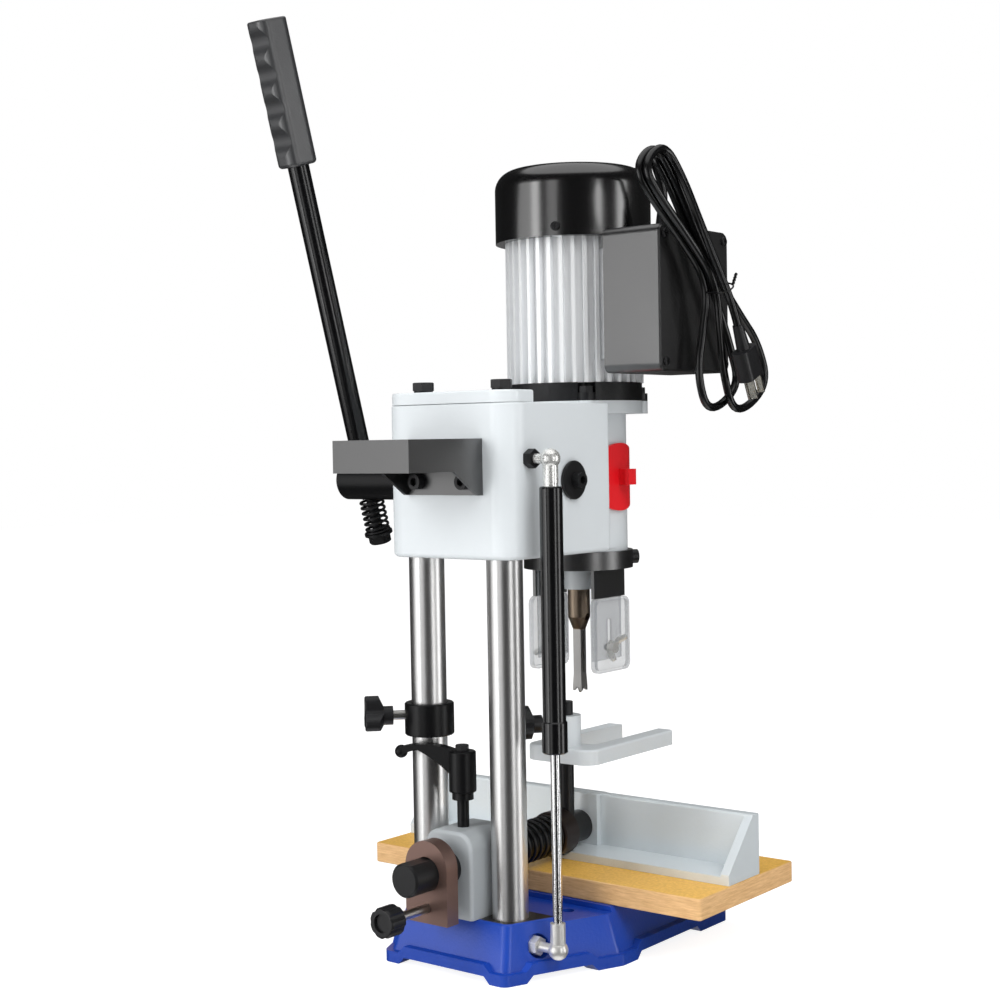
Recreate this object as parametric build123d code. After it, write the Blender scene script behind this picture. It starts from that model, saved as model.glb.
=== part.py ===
from build123d import *
import os
from math import acos, cos, pi, radians, sin, sqrt, tan

# Hollow chisel mortiser, millimetres. +X is the operator's right, -Y the operator's side, +Z up.
# Sizes are measured from the middle between the columns; the finished frame has its origin on the
# bench top, midway between the two bench holes.

# Clearances
RUNNING = 0.06
SLIDING = 0.3
SEATED = 0.02

# Base and bench holes
BASE_HEIGHT = 45.5
BASE_WALL = 9.0
BASE_REAR = 38.0
BASE_REAR_HALF = 64.0
BASE_FRONT_HALF = 109.0
BASE_FLARE_END = -66.0
BASE_TOP_INSET = 17.0
BASE_CORNER = 8.0
BASE_EDGE = 2.5
BASE_RECESS = 4.5
COLUMN_PAD_FRONT = -22.0
TABLE_SEAT_LIP = 4.0
BASE_PAST_TABLE = 4.6
RIM_HEIGHT = 15.5
RIM_BAND = 9.5
RIM_STEP = 4.0
FOOT_HEIGHT = 6.0
FOOT_BEVEL = 6.0
REAR_FOOT_ACROSS = 15.0
REAR_FOOT_ALONG = 19.0
MIDDLE_FOOT_REAR = 22.0
MIDDLE_FOOT_FRONT = 21.0
FRONT_FOOT_ALONG = 48.0
FRONT_FOOT_ACROSS = 34.0
BENCH_HOLE_R = 5.5
BENCH_HOLE_X = 60.0
BENCH_HOLE_Y = -55.5
BENCH_BOSS_R = 11.0

# Columns and the plate across their tops
COLUMN_R = 15.0
COLUMN_HALF_SPACING = 42.0
COLUMN_FOOT_Z = 10.0
COLUMN_BOSS_WALL = 7.0
COLUMN_TOP = 468.9
TOP_PLATE_THICK = 10.0
TOP_PLATE_REAR = 24.0
TOP_PLATE_FRONT = -11.0
TOP_PLATE_HALF = 66.0
COLUMN_BOLT_R = 6.0
COLUMN_BOLT_DEPTH = 30.0
HEX_HEAD_R = 9.5
HEX_HEAD_THICK = 7.0
HEX_FACE = 0.88
HEX_ANGLE = 30.0
BOLT_WASHER_R = 8.0
BOLT_WASHER = 2.0
PLATE_EDGE = 1.5

# Table
TABLE_LENGTH = 355.0
TABLE_WIDTH = 155.0
TABLE_THICK = 18.0
TABLE_REAR = -76.4
TABLE_SCREW_R = 3.0
TABLE_SCREW_HEAD_R = 6.0
TABLE_SCREW_INSET = 12.0
TABLE_SCREW_REAR = 64.0
TABLE_SCREW_FRONT = 26.0
TABLE_SCREW_BITE = 9.0
TABLE_CORNER = 3.0
TABLE_EDGE = 0.8

# Rack and pinion
GEAR_MODULE = 2.5
PINION_TEETH = 38
PINION_WIDTH = 16.0
PRESSURE_ANGLE = 20.0
TOOTH_BACKLASH = 0.36
ADDENDUM = 0.9 * GEAR_MODULE
DEDENDUM = 1.25 * GEAR_MODULE
PITCH_R = GEAR_MODULE * PINION_TEETH / 2
PINION_Y = -(COLUMN_R - GEAR_MODULE) - PITCH_R
PINION_Z = 404.0
SHAFT_R = 10.0

# Head casting
HEAD_HALF = 68.0
HEAD_REAR = 24.0
HEAD_FRONT = -117.0
HEAD_BOTTOM = 341.3
HEAD_TOP = 468.6
HEAD_CORNER = 20.0
HEAD_LOW_EDGE = 4.0
HEAD_TOP_EDGE = 1.5
HEAD_WALL = 10.5
HEAD_STROKE = 60.0
SPINDLE_Y = -162.0
NOSE_DRUM_R = 45.0
NOSE_DRUM_BOTTOM = 338.0
CHUCK_ROOM_R = 36.0
CHUCK_ROOM_FLOOR = 350.0
MOTOR_SEAT_Z = 471.5
SEAT_FLANGE_R = 60.0
SEAT_FLANGE_THICK = 11.2
SEAT_EAR_R = 8.0
SEAT_EAR_AT = 58.0
NOSE_R = 13.0
NOSE_BOTTOM = 302.5
CHISEL_SHANK_R = 9.5
WINDOW_HALF_Y = 16.0
WINDOW_HALF_Z = 23.0
COVER_THICK = 2.8
COVER_LAP = 6.0
COVER_LAP_Z = 2.5
COVER_BOW = 4.5
COVER_CORNER = 3.0
COVER_TAB = 15.0
COVER_TAB_GRIP = 4.0
COVER_TAB_HALF_Y = 3.0
COVER_TAB_HALF_Z = 7.0

# Motor
MOTOR_FLANGE_THICK = 16.2
MOTOR_EAR_THICK = 7.0
MOTOR_BOLT_R = 4.0
MOTOR_BOLT_DEPTH = 9.0
MOTOR_HEX_R = 6.5
MOTOR_HEX_THICK = 5.5
MOTOR_R = 61.5
MOTOR_CORE_R = 55.0
MOTOR_BORE_R = 48.0
MOTOR_LENGTH = 128.5
FIN_COUNT = 36
FIN_WIDTH = 3.2
END_WALL = 14.0
BEARING_R = 16.0
BEARING_WIDTH = 11.0
ROTOR_SHAFT_R = 8.0
ROTOR_R = 29.0
STATOR_BORE_R = 30.0
STATOR_LENGTH = 82.0
FAN_COVER_R = 70.0
FAN_COVER_HEIGHT = 65.0
FAN_COVER_WALL = 2.5
FAN_COVER_EDGE = 18.0
FAN_COVER_SKIRT = 2.0
FAN_SLOTS = 12
FAN_SLOT_AT = 33.0
FAN_SLOT_LENGTH = 26.0
FAN_SLOT_WIDTH = 5.0
FAN_SCREW_ANGLE = 113.0
FAN_SCREW_RISE = 6.0
FAN_SCREW_BITE = 9.0
FAN_POST_R = 4.5
FAN_POST_RISE = 12.0
FAN_R = 57.0
FAN_HEIGHT = 24.0
FAN_BLADES = 9

# Chuck, bit and chisel
CHUCK_R = 21.0
CHUCK_LENGTH = 58.0
CHUCK_TOP = 446.0
BIT_R = 3.0
BIT_LEAD = 6.0
BIT_LEAD_R = 1.0
CHISEL_SIDE = 9.5
CHISEL_SHANK_SIDE = 8.3
CHISEL_FLARE = 12.0
CHISEL_LIP = 4.0
CHISEL_SLOT = 2.4
CHISEL_PORT_R = 3.6
CHISEL_NOTCH = 3.6
CHISEL_POINT = 0.6
CHISEL_SHOULDER_R = 10.1
CHISEL_SHOULDER_END = 277.0
CHISEL_TAPER_END = 266.0
CHISEL_TIP = 210.0
CHISEL_BORE_R = 3.3
BIT_TIP_DROP = 2.0

# Guard bracket, panels and trays
COLLAR_R = 49.5
COLLAR_THICK = 16.0
LEG_INNER_X = 31.0
LEG_THICK = 3.0
LEG_HALF_Y = 24.0
LEG_BOTTOM = 296.0
PANEL_THICK = 2.2
PANEL_BOTTOM = 240.0
TRAY_THICK = 2.4
TRAY_RIM = 3.2
TRAY_HALF_Y = 27.0
TRAY_BOTTOM = 229.6
TRAY_TRAVEL = 5.5
WING_SCREW_Z = 251.0
WING_SCREW_R = 2.9
WING_HUB_R = 6.2
WING_HUB_END_R = 4.6
WING_HUB = 6.0
WING_REACH = 15.0
WING_THICK = 2.6
WING_EDGE = 1.5
WING_TURN = 136.0
LOCK_SCREW_ANGLE = 35.0
LOCK_SCREW_R = 4.0

# Switch box
BOX_INNER_X = -70.5
BOX_SPLIT_X = -117.5
BOX_OUTER_X = -127.5
BOX_HALF_Y = 55.5
BOX_BOTTOM = 494.0
BOX_TOP = 617.0
BOX_WALL = 3.0
BOX_CORNER = 7.0
LID_POST_R = 5.5
GLAND_STEM_R = 6.5
COVER_SCREW_R = 2.0
COVER_SCREW_HEAD_R = 4.0
COVER_SCREW_EDGE = 8.0
COVER_SCREW_HEAD = 2.4
COVER_SCREW_SLOT = 1.0
COVER_SCREW_BITE = 15.0
LID_POST_LENGTH = 20.0
SADDLE_HALF_Y = 30.0
SADDLE_HALF_Z = 48.0
SADDLE_ROOT = 8.0
SWITCH_HALF_X = 14.0
SWITCH_HALF_Z = 24.0
SWITCH_DEPTH = 34.0
BUTTON_R = 7.5
BUTTON_TRAVEL = 3.0

# Feed lever
LEVER_X = 164.0
LEVER_TILT = 16.2
HUB_R = 18.0
HUB_END = 187.0
LEVER_R = 9.5
LEVER_LENGTH = 405.0
GRIP_START = 289.0
GRIP_END = 415.0
GRIP_R = 15.5
GRIP_HALF = 13.5
GRIP_CORNER = 9.0
GRIP_TURN = 7.0
GRIP_COLLAR = 10.0
GRIP_LIP = 4.0
GRIP_END_EDGE = 2.0
GRIP_FOOT_EDGE = 3.5
GRIP_HOLLOW = 4.0
GRIP_HOLLOWS = 4
LEVER_PULL = 10.0
LEVER_BOLT_R = 5.0
LEVER_SPRING_LENGTH = 32.0
LEVER_SPRING_WIRE = 2.6
LEVER_SPRING_R = 10.4
LEVER_HEX_R = 10.5
LEVER_HEX_THICK = 8.0
LEVER_FLANGE = 2.5
LEVER_SPRING_TURNS = 5
SHAFT_WASHER_R = 16.3
SHAFT_WASHER_THICK = 3.5

# Tool shelf behind the head
SHELF_HALF = 40.0
SHELF_REACH = 90.0
SHELF_TOP = 440.0
SHELF_SKIRT = 26.0
SHELF_SHEET = 3.0
SHELF_BACK = 46.0
SHELF_GUSSET = 36.0
SHELF_GUSSET_FOOT = 6.0
SHELF_HOLE_R = 10.2
SHELF_SCREW_X = 25.0
SHELF_SCREW_Z = 405.0
SOCKET_SCREW_R = 4.0

# Gas strut
STRUT_X = -90.0
STRUT_Y = -0.5
STRUT_TOP_BALL = 423.0
STRUT_LOW_BALL = 26.0
STRUT_TUBE_R = 9.4
STRUT_BORE_R = 7.8
STRUT_ROD_R = 4.0
STRUT_TUBE_TOP = 400.7
STRUT_TUBE_BOTTOM = 186.0
STRUT_END_WALL = 12.0
STRUT_SLEEVE_R = 10.4
STRUT_SLEEVE = 26.0
SOCKET_LENGTH = 22.0
BALL_SOCKET_R = 8.2
BALL_NECK_R = 6.2
STUD_R = 4.0
STUD_SEAT_R = 9.8
STUD_SEAT_WALL = 1.0
STUD_HEX_R = 8.0
STUD_HEX_THICK = 7.0

# Fence, its rod, clamp block and fine adjuster
ROD_R = 14.0
ROD_Z = 87.0
ROD_REAR = 84.0
FENCE_END_GAP = 1.5
FENCE_REAR = -124.5
FENCE_FACE = -175.0
FENCE_HEIGHT = 53.0
FENCE_FLOOR = 7.0
FENCE_WALL = 11.0
FENCE_PAD_HALF = 19.0
FENCE_PAD = 6.0
FENCE_GUSSET = 8.0
FENCE_EDGE = 2.0
FENCE_TRAVEL = 30.0
CLAMP_BLOCK_HALF = 25.0
CLAMP_BLOCK_REAR = 29.0
CLAMP_BLOCK_FRONT = -20.0
CLAMP_BLOCK_TOP = 117.0
CLAMP_BLOCK_CORNER = 14.0
CLAMP_BLOCK_EDGE = 3.0
CLAMP_SCREW_Y = 8.0
CLAMP_SCREW_R = 5.0
CLAMP_HUB_R = 11.5
CLAMP_COLLAR_R = 9.0
CLAMP_COLLAR = 6.0
CLAMP_HEAD_R = 6.0
CLAMP_HEAD = 5.0
CLAMP_ARM_HALF = 5.0
CLAMP_ARM_END_R = 5.5
CLAMP_ARM_RISE = 5.0
CLAMP_ARM_ROOT = 24.0
CLAMP_ARM_BELLY = 8.4
CLAMP_HUB_BOTTOM = 140.0
CLAMP_HUB_TOP = 180.5
CLAMP_ARM_LENGTH = 53.0
CLAMP_ARM_ANGLE = 24.0
ROD_FLAT = 1.5
PLATE_HALF = 22.0
PLATE_FRONT = 43.0
PLATE_THICK = 14.0
PLATE_BOTTOM = 46.5
PLATE_RISE = 5.0
ADJUST_Z = 59.0
ADJUST_R = 4.0
ADJUST_KNOB_R = 12.5
ADJUST_KNOB_START = 95.0
ADJUST_KNOB_LENGTH = 17.0
ADJUST_DISH_R = 7.5
ADJUST_DISH = 2.5
ROD_COLLAR_R = 20.0
ROD_COLLAR_REAR = -110.0
ROD_COLLAR_WIDTH = 21.0
FENCE_SPRING_WIRE = 3.2
FENCE_SPRING_R = 16.6
FENCE_SPRING_TURNS = 10

# Hold-down
POST_Y = -139.0
POST_R = 6.5
POST_TOP = 202.7
POST_SEAT = 12.0
FORK_TOP = 163.0
FORK_THICK = 13.8
FORK_EDGE = 2.0
FORK_HALF = 37.2
FORK_GAP_HALF = 21.3
FORK_REAR = -124.0
FORK_FRONT = -260.0
FORK_REAR_CORNER = 14.0
FORK_TIP_CORNER = 4.0
FORK_ROOT_CORNER = 8.0
FORK_SLOT_REAR = -153.0
FORK_BOSS_R = 13.5
FORK_BOSS_TOP = 190.5
HOLD_KNOB_DROP = 7.0

# Depth stop and the three-lobed knobs
STOP_BOTTOM = 189.5
STOP_HEIGHT = 27.4
STOP_R = 21.0
KNOB_SCREW_R = 4.0
KNOB_R = 17.0
KNOB_LENGTH = 24.0
KNOB_HUB_R = 8.0
KNOB_LOBE_R = 6.0
KNOB_LOBE_DEPTH = 16.0
KNOB_SLANT = 5.0
KNOB_EDGE = 1.5
KNOB_WAIST = 3.0
KNOB_STANDOFF = 31.0
KNOB_ANGLE = 45.0
HOLD_KNOB_ANGLE = 52.0
HOLD_KNOB_STANDOFF = 23.0

# Power cord
CORD_D = 7.0
GLAND_X = -97.0
GLAND_Y = -162.0
GLAND_LENGTH = 25.0
GLAND_NUT = 4.0
GLAND_GRIP = 17.0
HANK_X = -142.0
HANK_TOP_LEAN = 36.0
HANK_LOW_LEAN = 25.5
HANK_TILT = 10.0
HANK_WAIST_Y = -157.0
HANK_WAIST_Z = 572.0
HANK_TOP_RUN = 100.0
HANK_LOW_RUNS = (82.0, 97.0)
HANK_TOP_R = 20.0
HANK_LOW_R = 26.0
HANK_WAIST_R = 4.6
HANK_STEP = 7.8
PLUG_LAYERS = 1.55
PLUG_DROP = 38.0
PLUG_ACROSS = 14.0
LEAD_RISE = 28.0
LEAD_RUN = 26.0
LEAD_LEAN = 34.0
HANK_FAN = 30.0
PLUG_NECK = 22.0
PLUG_NECK_R = 6.0
PLUG_THICK = 15.0
PLUG_WIDTH = 26.0
PLUG_BODY = 26.0
PLUG_CORNER = 6.0
PIN_HALF_SPACING = 6.35
PIN_OFFSET = 3.0
PIN_WIDTH = 6.3
PIN_THICK = 1.5
PIN_LENGTH = 17.0
EARTH_PIN_OFFSET = 5.0
EARTH_PIN_R = 2.4
EARTH_PIN_LENGTH = 20.0

PITCH = pi * GEAR_MODULE
BASE_FRONT = TABLE_REAR - TABLE_WIDTH - BASE_PAST_TABLE
TABLE_SCREW_X = BASE_FRONT_HALF - BASE_TOP_INSET - TABLE_SCREW_INSET
SADDLE_Z = (BOX_BOTTOM + BOX_TOP) / 2
HANK_TURNS = len(HANK_LOW_RUNS)
TABLE_TOP = BASE_HEIGHT + TABLE_THICK
FENCE_LENGTH = TABLE_LENGTH - 2 * FENCE_END_GAP
MOTOR_BASE = MOTOR_SEAT_Z + MOTOR_FLANGE_THICK
MOTOR_TOP = MOTOR_BASE + MOTOR_LENGTH
COLLAR_BOTTOM = NOSE_DRUM_BOTTOM - COLLAR_THICK
LEVER_AXIS = Vector(0, sin(radians(LEVER_TILT)), cos(radians(LEVER_TILT)))
PIVOT = Vector(LEVER_X, PINION_Y, PINION_Z)
BASE_ALIGN = (Align.CENTER, Align.CENTER, Align.MIN)


def bar(radius, start, end):
    """A round bar between two points."""
    start = Vector(*start)
    run = Vector(*end) - start
    return Plane(origin=start, z_dir=run) * Cylinder(radius, run.length, align=BASE_ALIGN)


def taper(radius_1, radius_2, start, end):
    """A round bar that changes radius between two points."""
    start = Vector(*start)
    run = Vector(*end) - start
    return Plane(origin=start, z_dir=run) * Cone(radius_1, radius_2, run.length, align=BASE_ALIGN)


def brick(x, y, z):
    """A box between two limits on each axis."""
    centre = Pos(sum(x) / 2, sum(y) / 2, sum(z) / 2)
    return centre * Box(abs(x[1] - x[0]), abs(y[1] - y[0]), abs(z[1] - z[0]))


def hexagon(radius, thick, start, direction):
    """A hexagonal head that stands on a point."""
    profile = RegularPolygon(radius, 6)
    return Plane(origin=start, z_dir=direction) * extrude(profile, thick)


def hex_head(radius, thick, start, direction):
    """A hexagonal bolt head whose corners are turned down at its end."""
    start = Vector(*start)
    flat = HEX_FACE * radius
    cone = taper(flat + thick / tan(radians(HEX_ANGLE)), flat, start, start + Vector(*direction) * thick)
    return hexagon(radius, thick, start, direction) & cone


def outline(points, corner):
    """A closed outline with every corner rounded."""
    face = make_face(Polyline(*points, close=True))
    return fillet(face.vertices(), corner)


def mirrored(half):
    """A closed outline from its half on the -X side."""
    return half + [(-x, y) for x, y in reversed(half)]


def arcs_through(points, tangents):
    """A smooth wire of two tangent arcs between each pair of points."""
    edges = []
    for p, q, s, t in zip(points, points[1:], tangents, tangents[1:]):
        chord = q - p
        along = s + t
        turn = 2 * (1 - s.dot(t))
        if chord.cross(s).length + chord.cross(t).length < 1e-6:
            edges.append(Edge.make_line(p, q))
            continue
        if turn < 1e-9:
            reach = chord.dot(chord) / (4 * chord.dot(s))
        else:
            reach = (sqrt(chord.dot(along) ** 2 + turn * chord.dot(chord)) - chord.dot(along)) / turn
        middle = (p + q + (s - t) * reach) / 2
        heading = (q - t * reach) - (p + s * reach)
        edges.append(Edge.make_tangent_arc(p, s, middle))
        edges.append(Edge.make_tangent_arc(middle, heading.normalized(), q))
    return Wire(edges)


def tube_on(path, radius):
    """A round tube along a wire."""
    profile = Plane(origin=path.position_at(0), z_dir=path.tangent_at(0)) * Circle(radius)
    return sweep(profile, path=path)


def report_tube(name, path, tube, wire, spacing, skip):
    """Print the tube's length, its volume against its section, and its least gap to itself."""
    count = int(path.length / spacing)
    points = [path.position_at(i / count) for i in range(count + 1)]
    least = min(
        (points[i] - points[j]).length
        for i in range(count + 1)
        for j in range(i + skip, count + 1)
    )
    ideal = path.length * pi * wire**2 / 4
    print(f"{name}: length {path.length:.1f}, volume ratio {tube.volume / ideal:.4f}, gap {least - wire:.2f}")


def helix_points(radius, length, turns, steps_per_turn):
    """Points and tangents of a helix about +Z that starts at z = 0."""
    points = []
    tangents = []
    rise = length / (2 * pi * turns)
    for i in range(turns * steps_per_turn + 1):
        angle = 2 * pi * i / steps_per_turn
        points.append(Vector(radius * cos(angle), radius * sin(angle), rise * angle))
        tangents.append(Vector(-radius * sin(angle), radius * cos(angle), rise).normalized())
    return points, tangents


def coil_spring(name, wire, radius, length, turns):
    """A compression spring about +Z from z = 0, whose ends turn to stand square on their seats."""
    tail = 2.5 * wire
    points, tangents = helix_points(radius, length - 2 * tail, turns, 4)
    points = [p + Vector(0, 0, tail) for p in points]
    turn_in = radians(35)
    low = Vector(radius * cos(turn_in), -radius * sin(turn_in), wire)
    high = Vector(radius * cos(turn_in), radius * sin(turn_in), length - wire)
    up = Vector(0, 0, 1)
    points = [low - up * wire, low] + points + [high, high + up * wire]
    tangents = [up, up] + tangents + [up, up]
    path = arcs_through(points, tangents)
    spring = tube_on(path, wire / 2)
    report_tube(name, path, spring, wire, wire / 2, 8)
    return spring


def flare_x(y, inset):
    """The base's left edge where it widens, drawn in by an inset."""
    slope = (BASE_FRONT_HALF - BASE_REAR_HALF) / (BASE_REAR - BASE_FLARE_END)
    return inset - BASE_REAR_HALF - slope * (BASE_REAR - y)


def base_face(inset, z):
    """The base's outline at a height, drawn in all round by an inset."""
    rear = BASE_REAR - inset
    left = inset - BASE_FRONT_HALF
    half = [(flare_x(rear, inset), rear), (left, BASE_FLARE_END), (left, BASE_FRONT + inset)]
    return Pos(0, 0, z) * outline(mirrored(half), BASE_CORNER)


def sloped_face(span, low, high):
    """The outline of a gap between two feet, whose ends slope inward as they rise."""
    return make_face(
        Polyline(
            (span[0], low),
            (span[1], low),
            (span[1] - FOOT_BEVEL, high),
            (span[0] + FOOT_BEVEL, high),
            close=True,
        )
    )


def foot_gaps(low, high):
    """The spaces between the feet, through the rim on every side."""
    depth = RIM_STEP + BASE_WALL + FOOT_HEIGHT
    rear_half = BASE_REAR_HALF - REAR_FOOT_ACROSS
    front_half = BASE_FRONT_HALF - FRONT_FOOT_ACROSS
    rear = extrude(Plane.XZ * sloped_face((-rear_half, rear_half), low, high), 2 * depth)
    front = extrude(Plane.XZ * sloped_face((-front_half, front_half), low, high), 2 * depth)
    gaps = Pos(0, BASE_REAR + depth, 0) * rear + Pos(0, BASE_FRONT + depth, 0) * front
    flare_span = (BASE_FLARE_END + MIDDLE_FOOT_REAR, BASE_REAR - REAR_FOOT_ALONG)
    front_span = (BASE_FRONT + FRONT_FOOT_ALONG, BASE_FLARE_END - MIDDLE_FOOT_FRONT)
    starts = (-flare_x(flare_span[1], depth), BASE_FRONT_HALF - depth)
    for span, start in zip((flare_span, front_span), starts):
        side = extrude(Plane.YZ * sloped_face(span, low, high), BASE_FRONT_HALF + depth - start)
        gaps += Pos(start, 0, 0) * side
        gaps += Pos(-BASE_FRONT_HALF - depth, 0, 0) * side
    return gaps


def base_rim():
    """The band round the base's foot, which dips at the feet and rises between them."""
    band = extrude(base_face(0, 0), RIM_BAND)
    raised = extrude(base_face(0, RIM_BAND), RIM_HEIGHT - RIM_BAND) & foot_gaps(RIM_BAND, RIM_HEIGHT)
    return band + raised


def base_casting():
    """The hollow base: feet and rim, sloping walls, column bosses and bench bolt bosses."""
    foot = base_face(RIM_STEP, RIM_BAND - RIM_STEP)
    wall = loft([foot, base_face(BASE_TOP_INSET, BASE_HEIGHT)], ruled=True)
    wall = fillet(wall.faces().sort_by(Axis.Z)[-1].edges(), BASE_EDGE)
    body = base_rim() + wall
    floor = BASE_HEIGHT - BASE_RECESS
    recess = (TABLE_REAR + TABLE_SEAT_LIP, COLUMN_PAD_FRONT)
    body -= brick((-BASE_FRONT_HALF, BASE_FRONT_HALF), recess, (floor, BASE_HEIGHT + 1))
    roof = floor - BASE_WALL
    mouth = base_face(RIM_STEP + BASE_WALL, 0)
    body -= loft([mouth, base_face(BASE_TOP_INSET + BASE_WALL, roof)], ruled=True)
    inside = extrude(base_face(RIM_STEP, 0), BASE_HEIGHT)
    for x in (-COLUMN_HALF_SPACING, COLUMN_HALF_SPACING):
        boss_r = COLUMN_R + COLUMN_BOSS_WALL
        body += bar(boss_r, (x, 0, COLUMN_FOOT_Z - COLUMN_BOSS_WALL), (x, 0, roof + 1)) & inside
        body -= bar(COLUMN_R + SEATED, (x, 0, COLUMN_FOOT_Z), (x, 0, BASE_HEIGHT + 1))
    body -= foot_gaps(-SLIDING, FOOT_HEIGHT)
    for x in (-BENCH_HOLE_X, BENCH_HOLE_X):
        body += bar(BENCH_BOSS_R, (x, BENCH_HOLE_Y, 0), (x, BENCH_HOLE_Y, roof + 1))
        body -= bar(BENCH_HOLE_R, (x, BENCH_HOLE_Y, -1), (x, BENCH_HOLE_Y, floor + 1))
    for x, y in table_screw_places():
        body -= bar(TABLE_SCREW_R + SEATED, (x, y, roof - 1), (x, y, BASE_HEIGHT + 1))
    stud = (STRUT_Y, STRUT_LOW_BALL)
    body -= bar(STUD_SEAT_R, (STRUT_X, *stud), (stud_seat(), *stud))
    return body - bar(STUD_R + SEATED, (STRUT_X, *stud), (stud_root(), *stud))


def stud_seat():
    """The spot face of the lower strut stud, just outside the left column's boss."""
    return -COLUMN_HALF_SPACING - COLUMN_R - COLUMN_BOSS_WALL - STUD_SEAT_WALL


def stud_root():
    """The depth of the lower strut stud, short of the left column."""
    return -COLUMN_HALF_SPACING - COLUMN_R - COLUMN_BOSS_WALL / 4


def table_screw_places():
    front = TABLE_REAR - TABLE_WIDTH
    rows = (TABLE_REAR - TABLE_SCREW_REAR, front + TABLE_SCREW_FRONT)
    return [(x, y) for x in (-TABLE_SCREW_X, TABLE_SCREW_X) for y in rows]


def table_board():
    half = TABLE_LENGTH / 2
    board = brick((-half, half), (TABLE_REAR - TABLE_WIDTH, TABLE_REAR), (BASE_HEIGHT, TABLE_TOP))
    board = fillet(board.edges().filter_by(Axis.Z), TABLE_CORNER)
    faces = board.faces().sort_by(Axis.Z)
    board = chamfer(faces[0].edges() + faces[-1].edges(), TABLE_EDGE)
    for x, y in table_screw_places():
        board -= table_screw(x, y, SEATED)
    return board


def table_screw(x, y, extra):
    """One countersunk screw, or its hole when extra is the fit."""
    neck = TABLE_TOP - TABLE_SCREW_HEAD_R + TABLE_SCREW_R
    foot = BASE_HEIGHT - TABLE_SCREW_BITE
    shank = bar(TABLE_SCREW_R + extra, (x, y, foot), (x, y, neck))
    head = taper(TABLE_SCREW_R + extra, TABLE_SCREW_HEAD_R + extra, (x, y, neck), (x, y, TABLE_TOP))
    return shank + head


def table_screws():
    return [table_screw(x, y, 0) for x, y in table_screw_places()]


def column(x):
    shaft = bar(COLUMN_R, (x, 0, COLUMN_FOOT_Z), (x, 0, COLUMN_TOP))
    shaft = chamfer(shaft.edges(), 0.8)
    return shaft - bar(COLUMN_BOLT_R + SEATED, (x, 0, COLUMN_TOP - COLUMN_BOLT_DEPTH), (x, 0, COLUMN_TOP + 1))


def rack_space(z):
    """One tooth space of the rack, cut across the front of the right column."""
    slope = tan(radians(PRESSURE_ANGLE))
    half = PITCH / 4 + TOOTH_BACKLASH / 4
    line = -(COLUMN_R - GEAR_MODULE)
    root = line + DEDENDUM
    mouth = line - 2 * GEAR_MODULE
    wide = half + 2 * GEAR_MODULE * slope
    thin = half - DEDENDUM * slope
    section = Polyline((mouth, -wide), (root, -thin), (root, thin), (mouth, wide), close=True)
    tool = extrude(Plane.YZ * make_face(section), COLUMN_R, both=True)
    return Pos(COLUMN_HALF_SPACING, 0, z) * tool


def right_column():
    shaft = column(COLUMN_HALF_SPACING)
    above = int((HEAD_TOP - HEAD_WALL - PINION_Z) / PITCH)
    below = int((PITCH_R + HEAD_STROKE) / PITCH)
    for i in range(-below, above + 1):
        shaft -= rack_space(PINION_Z + i * PITCH)
    return shaft


def left_column():
    return column(-COLUMN_HALF_SPACING)


def top_plate():
    low = COLUMN_TOP
    plate = brick((-TOP_PLATE_HALF, TOP_PLATE_HALF), (TOP_PLATE_FRONT, TOP_PLATE_REAR), (low, low + TOP_PLATE_THICK))
    rear = plate.edges().filter_by(Axis.Z).sort_by(Axis.Y)[-2:]
    plate = fillet(rear, HEAD_CORNER - 2)
    plate = fillet(plate.faces().sort_by(Axis.Z)[-1].edges(), PLATE_EDGE)
    for x in (-COLUMN_HALF_SPACING, COLUMN_HALF_SPACING):
        plate -= bar(COLUMN_BOLT_R + SLIDING, (x, 0, low - 1), (x, 0, low + TOP_PLATE_THICK + 1))
    return plate


def column_bolts():
    bolts = []
    seat = COLUMN_TOP + TOP_PLATE_THICK
    for x in (-COLUMN_HALF_SPACING, COLUMN_HALF_SPACING):
        shank = bar(COLUMN_BOLT_R, (x, 0, COLUMN_TOP - COLUMN_BOLT_DEPTH + 3), (x, 0, seat + 1))
        washer = bar(BOLT_WASHER_R, (x, 0, seat), (x, 0, seat + BOLT_WASHER))
        head = hex_head(HEX_HEAD_R, HEX_HEAD_THICK, (x, 0, seat + BOLT_WASHER), (0, 0, 1))
        bolts.append(shank + washer + head)
    return bolts


def spindle_disc(radius, low, high):
    return bar(radius, (0, SPINDLE_Y, low), (0, SPINDLE_Y, high))


def flange_ears(radius, low, high):
    """The four round ears on the diagonals of a motor flange."""
    return [bar(radius, (x, y, low), (x, y, high)) for x, y in ear_places()]


def ear_places():
    reach = SEAT_EAR_AT / sqrt(2)
    return [(a * reach, SPINDLE_Y + b * reach) for a in (-1, 1) for b in (-1, 1)]


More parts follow.
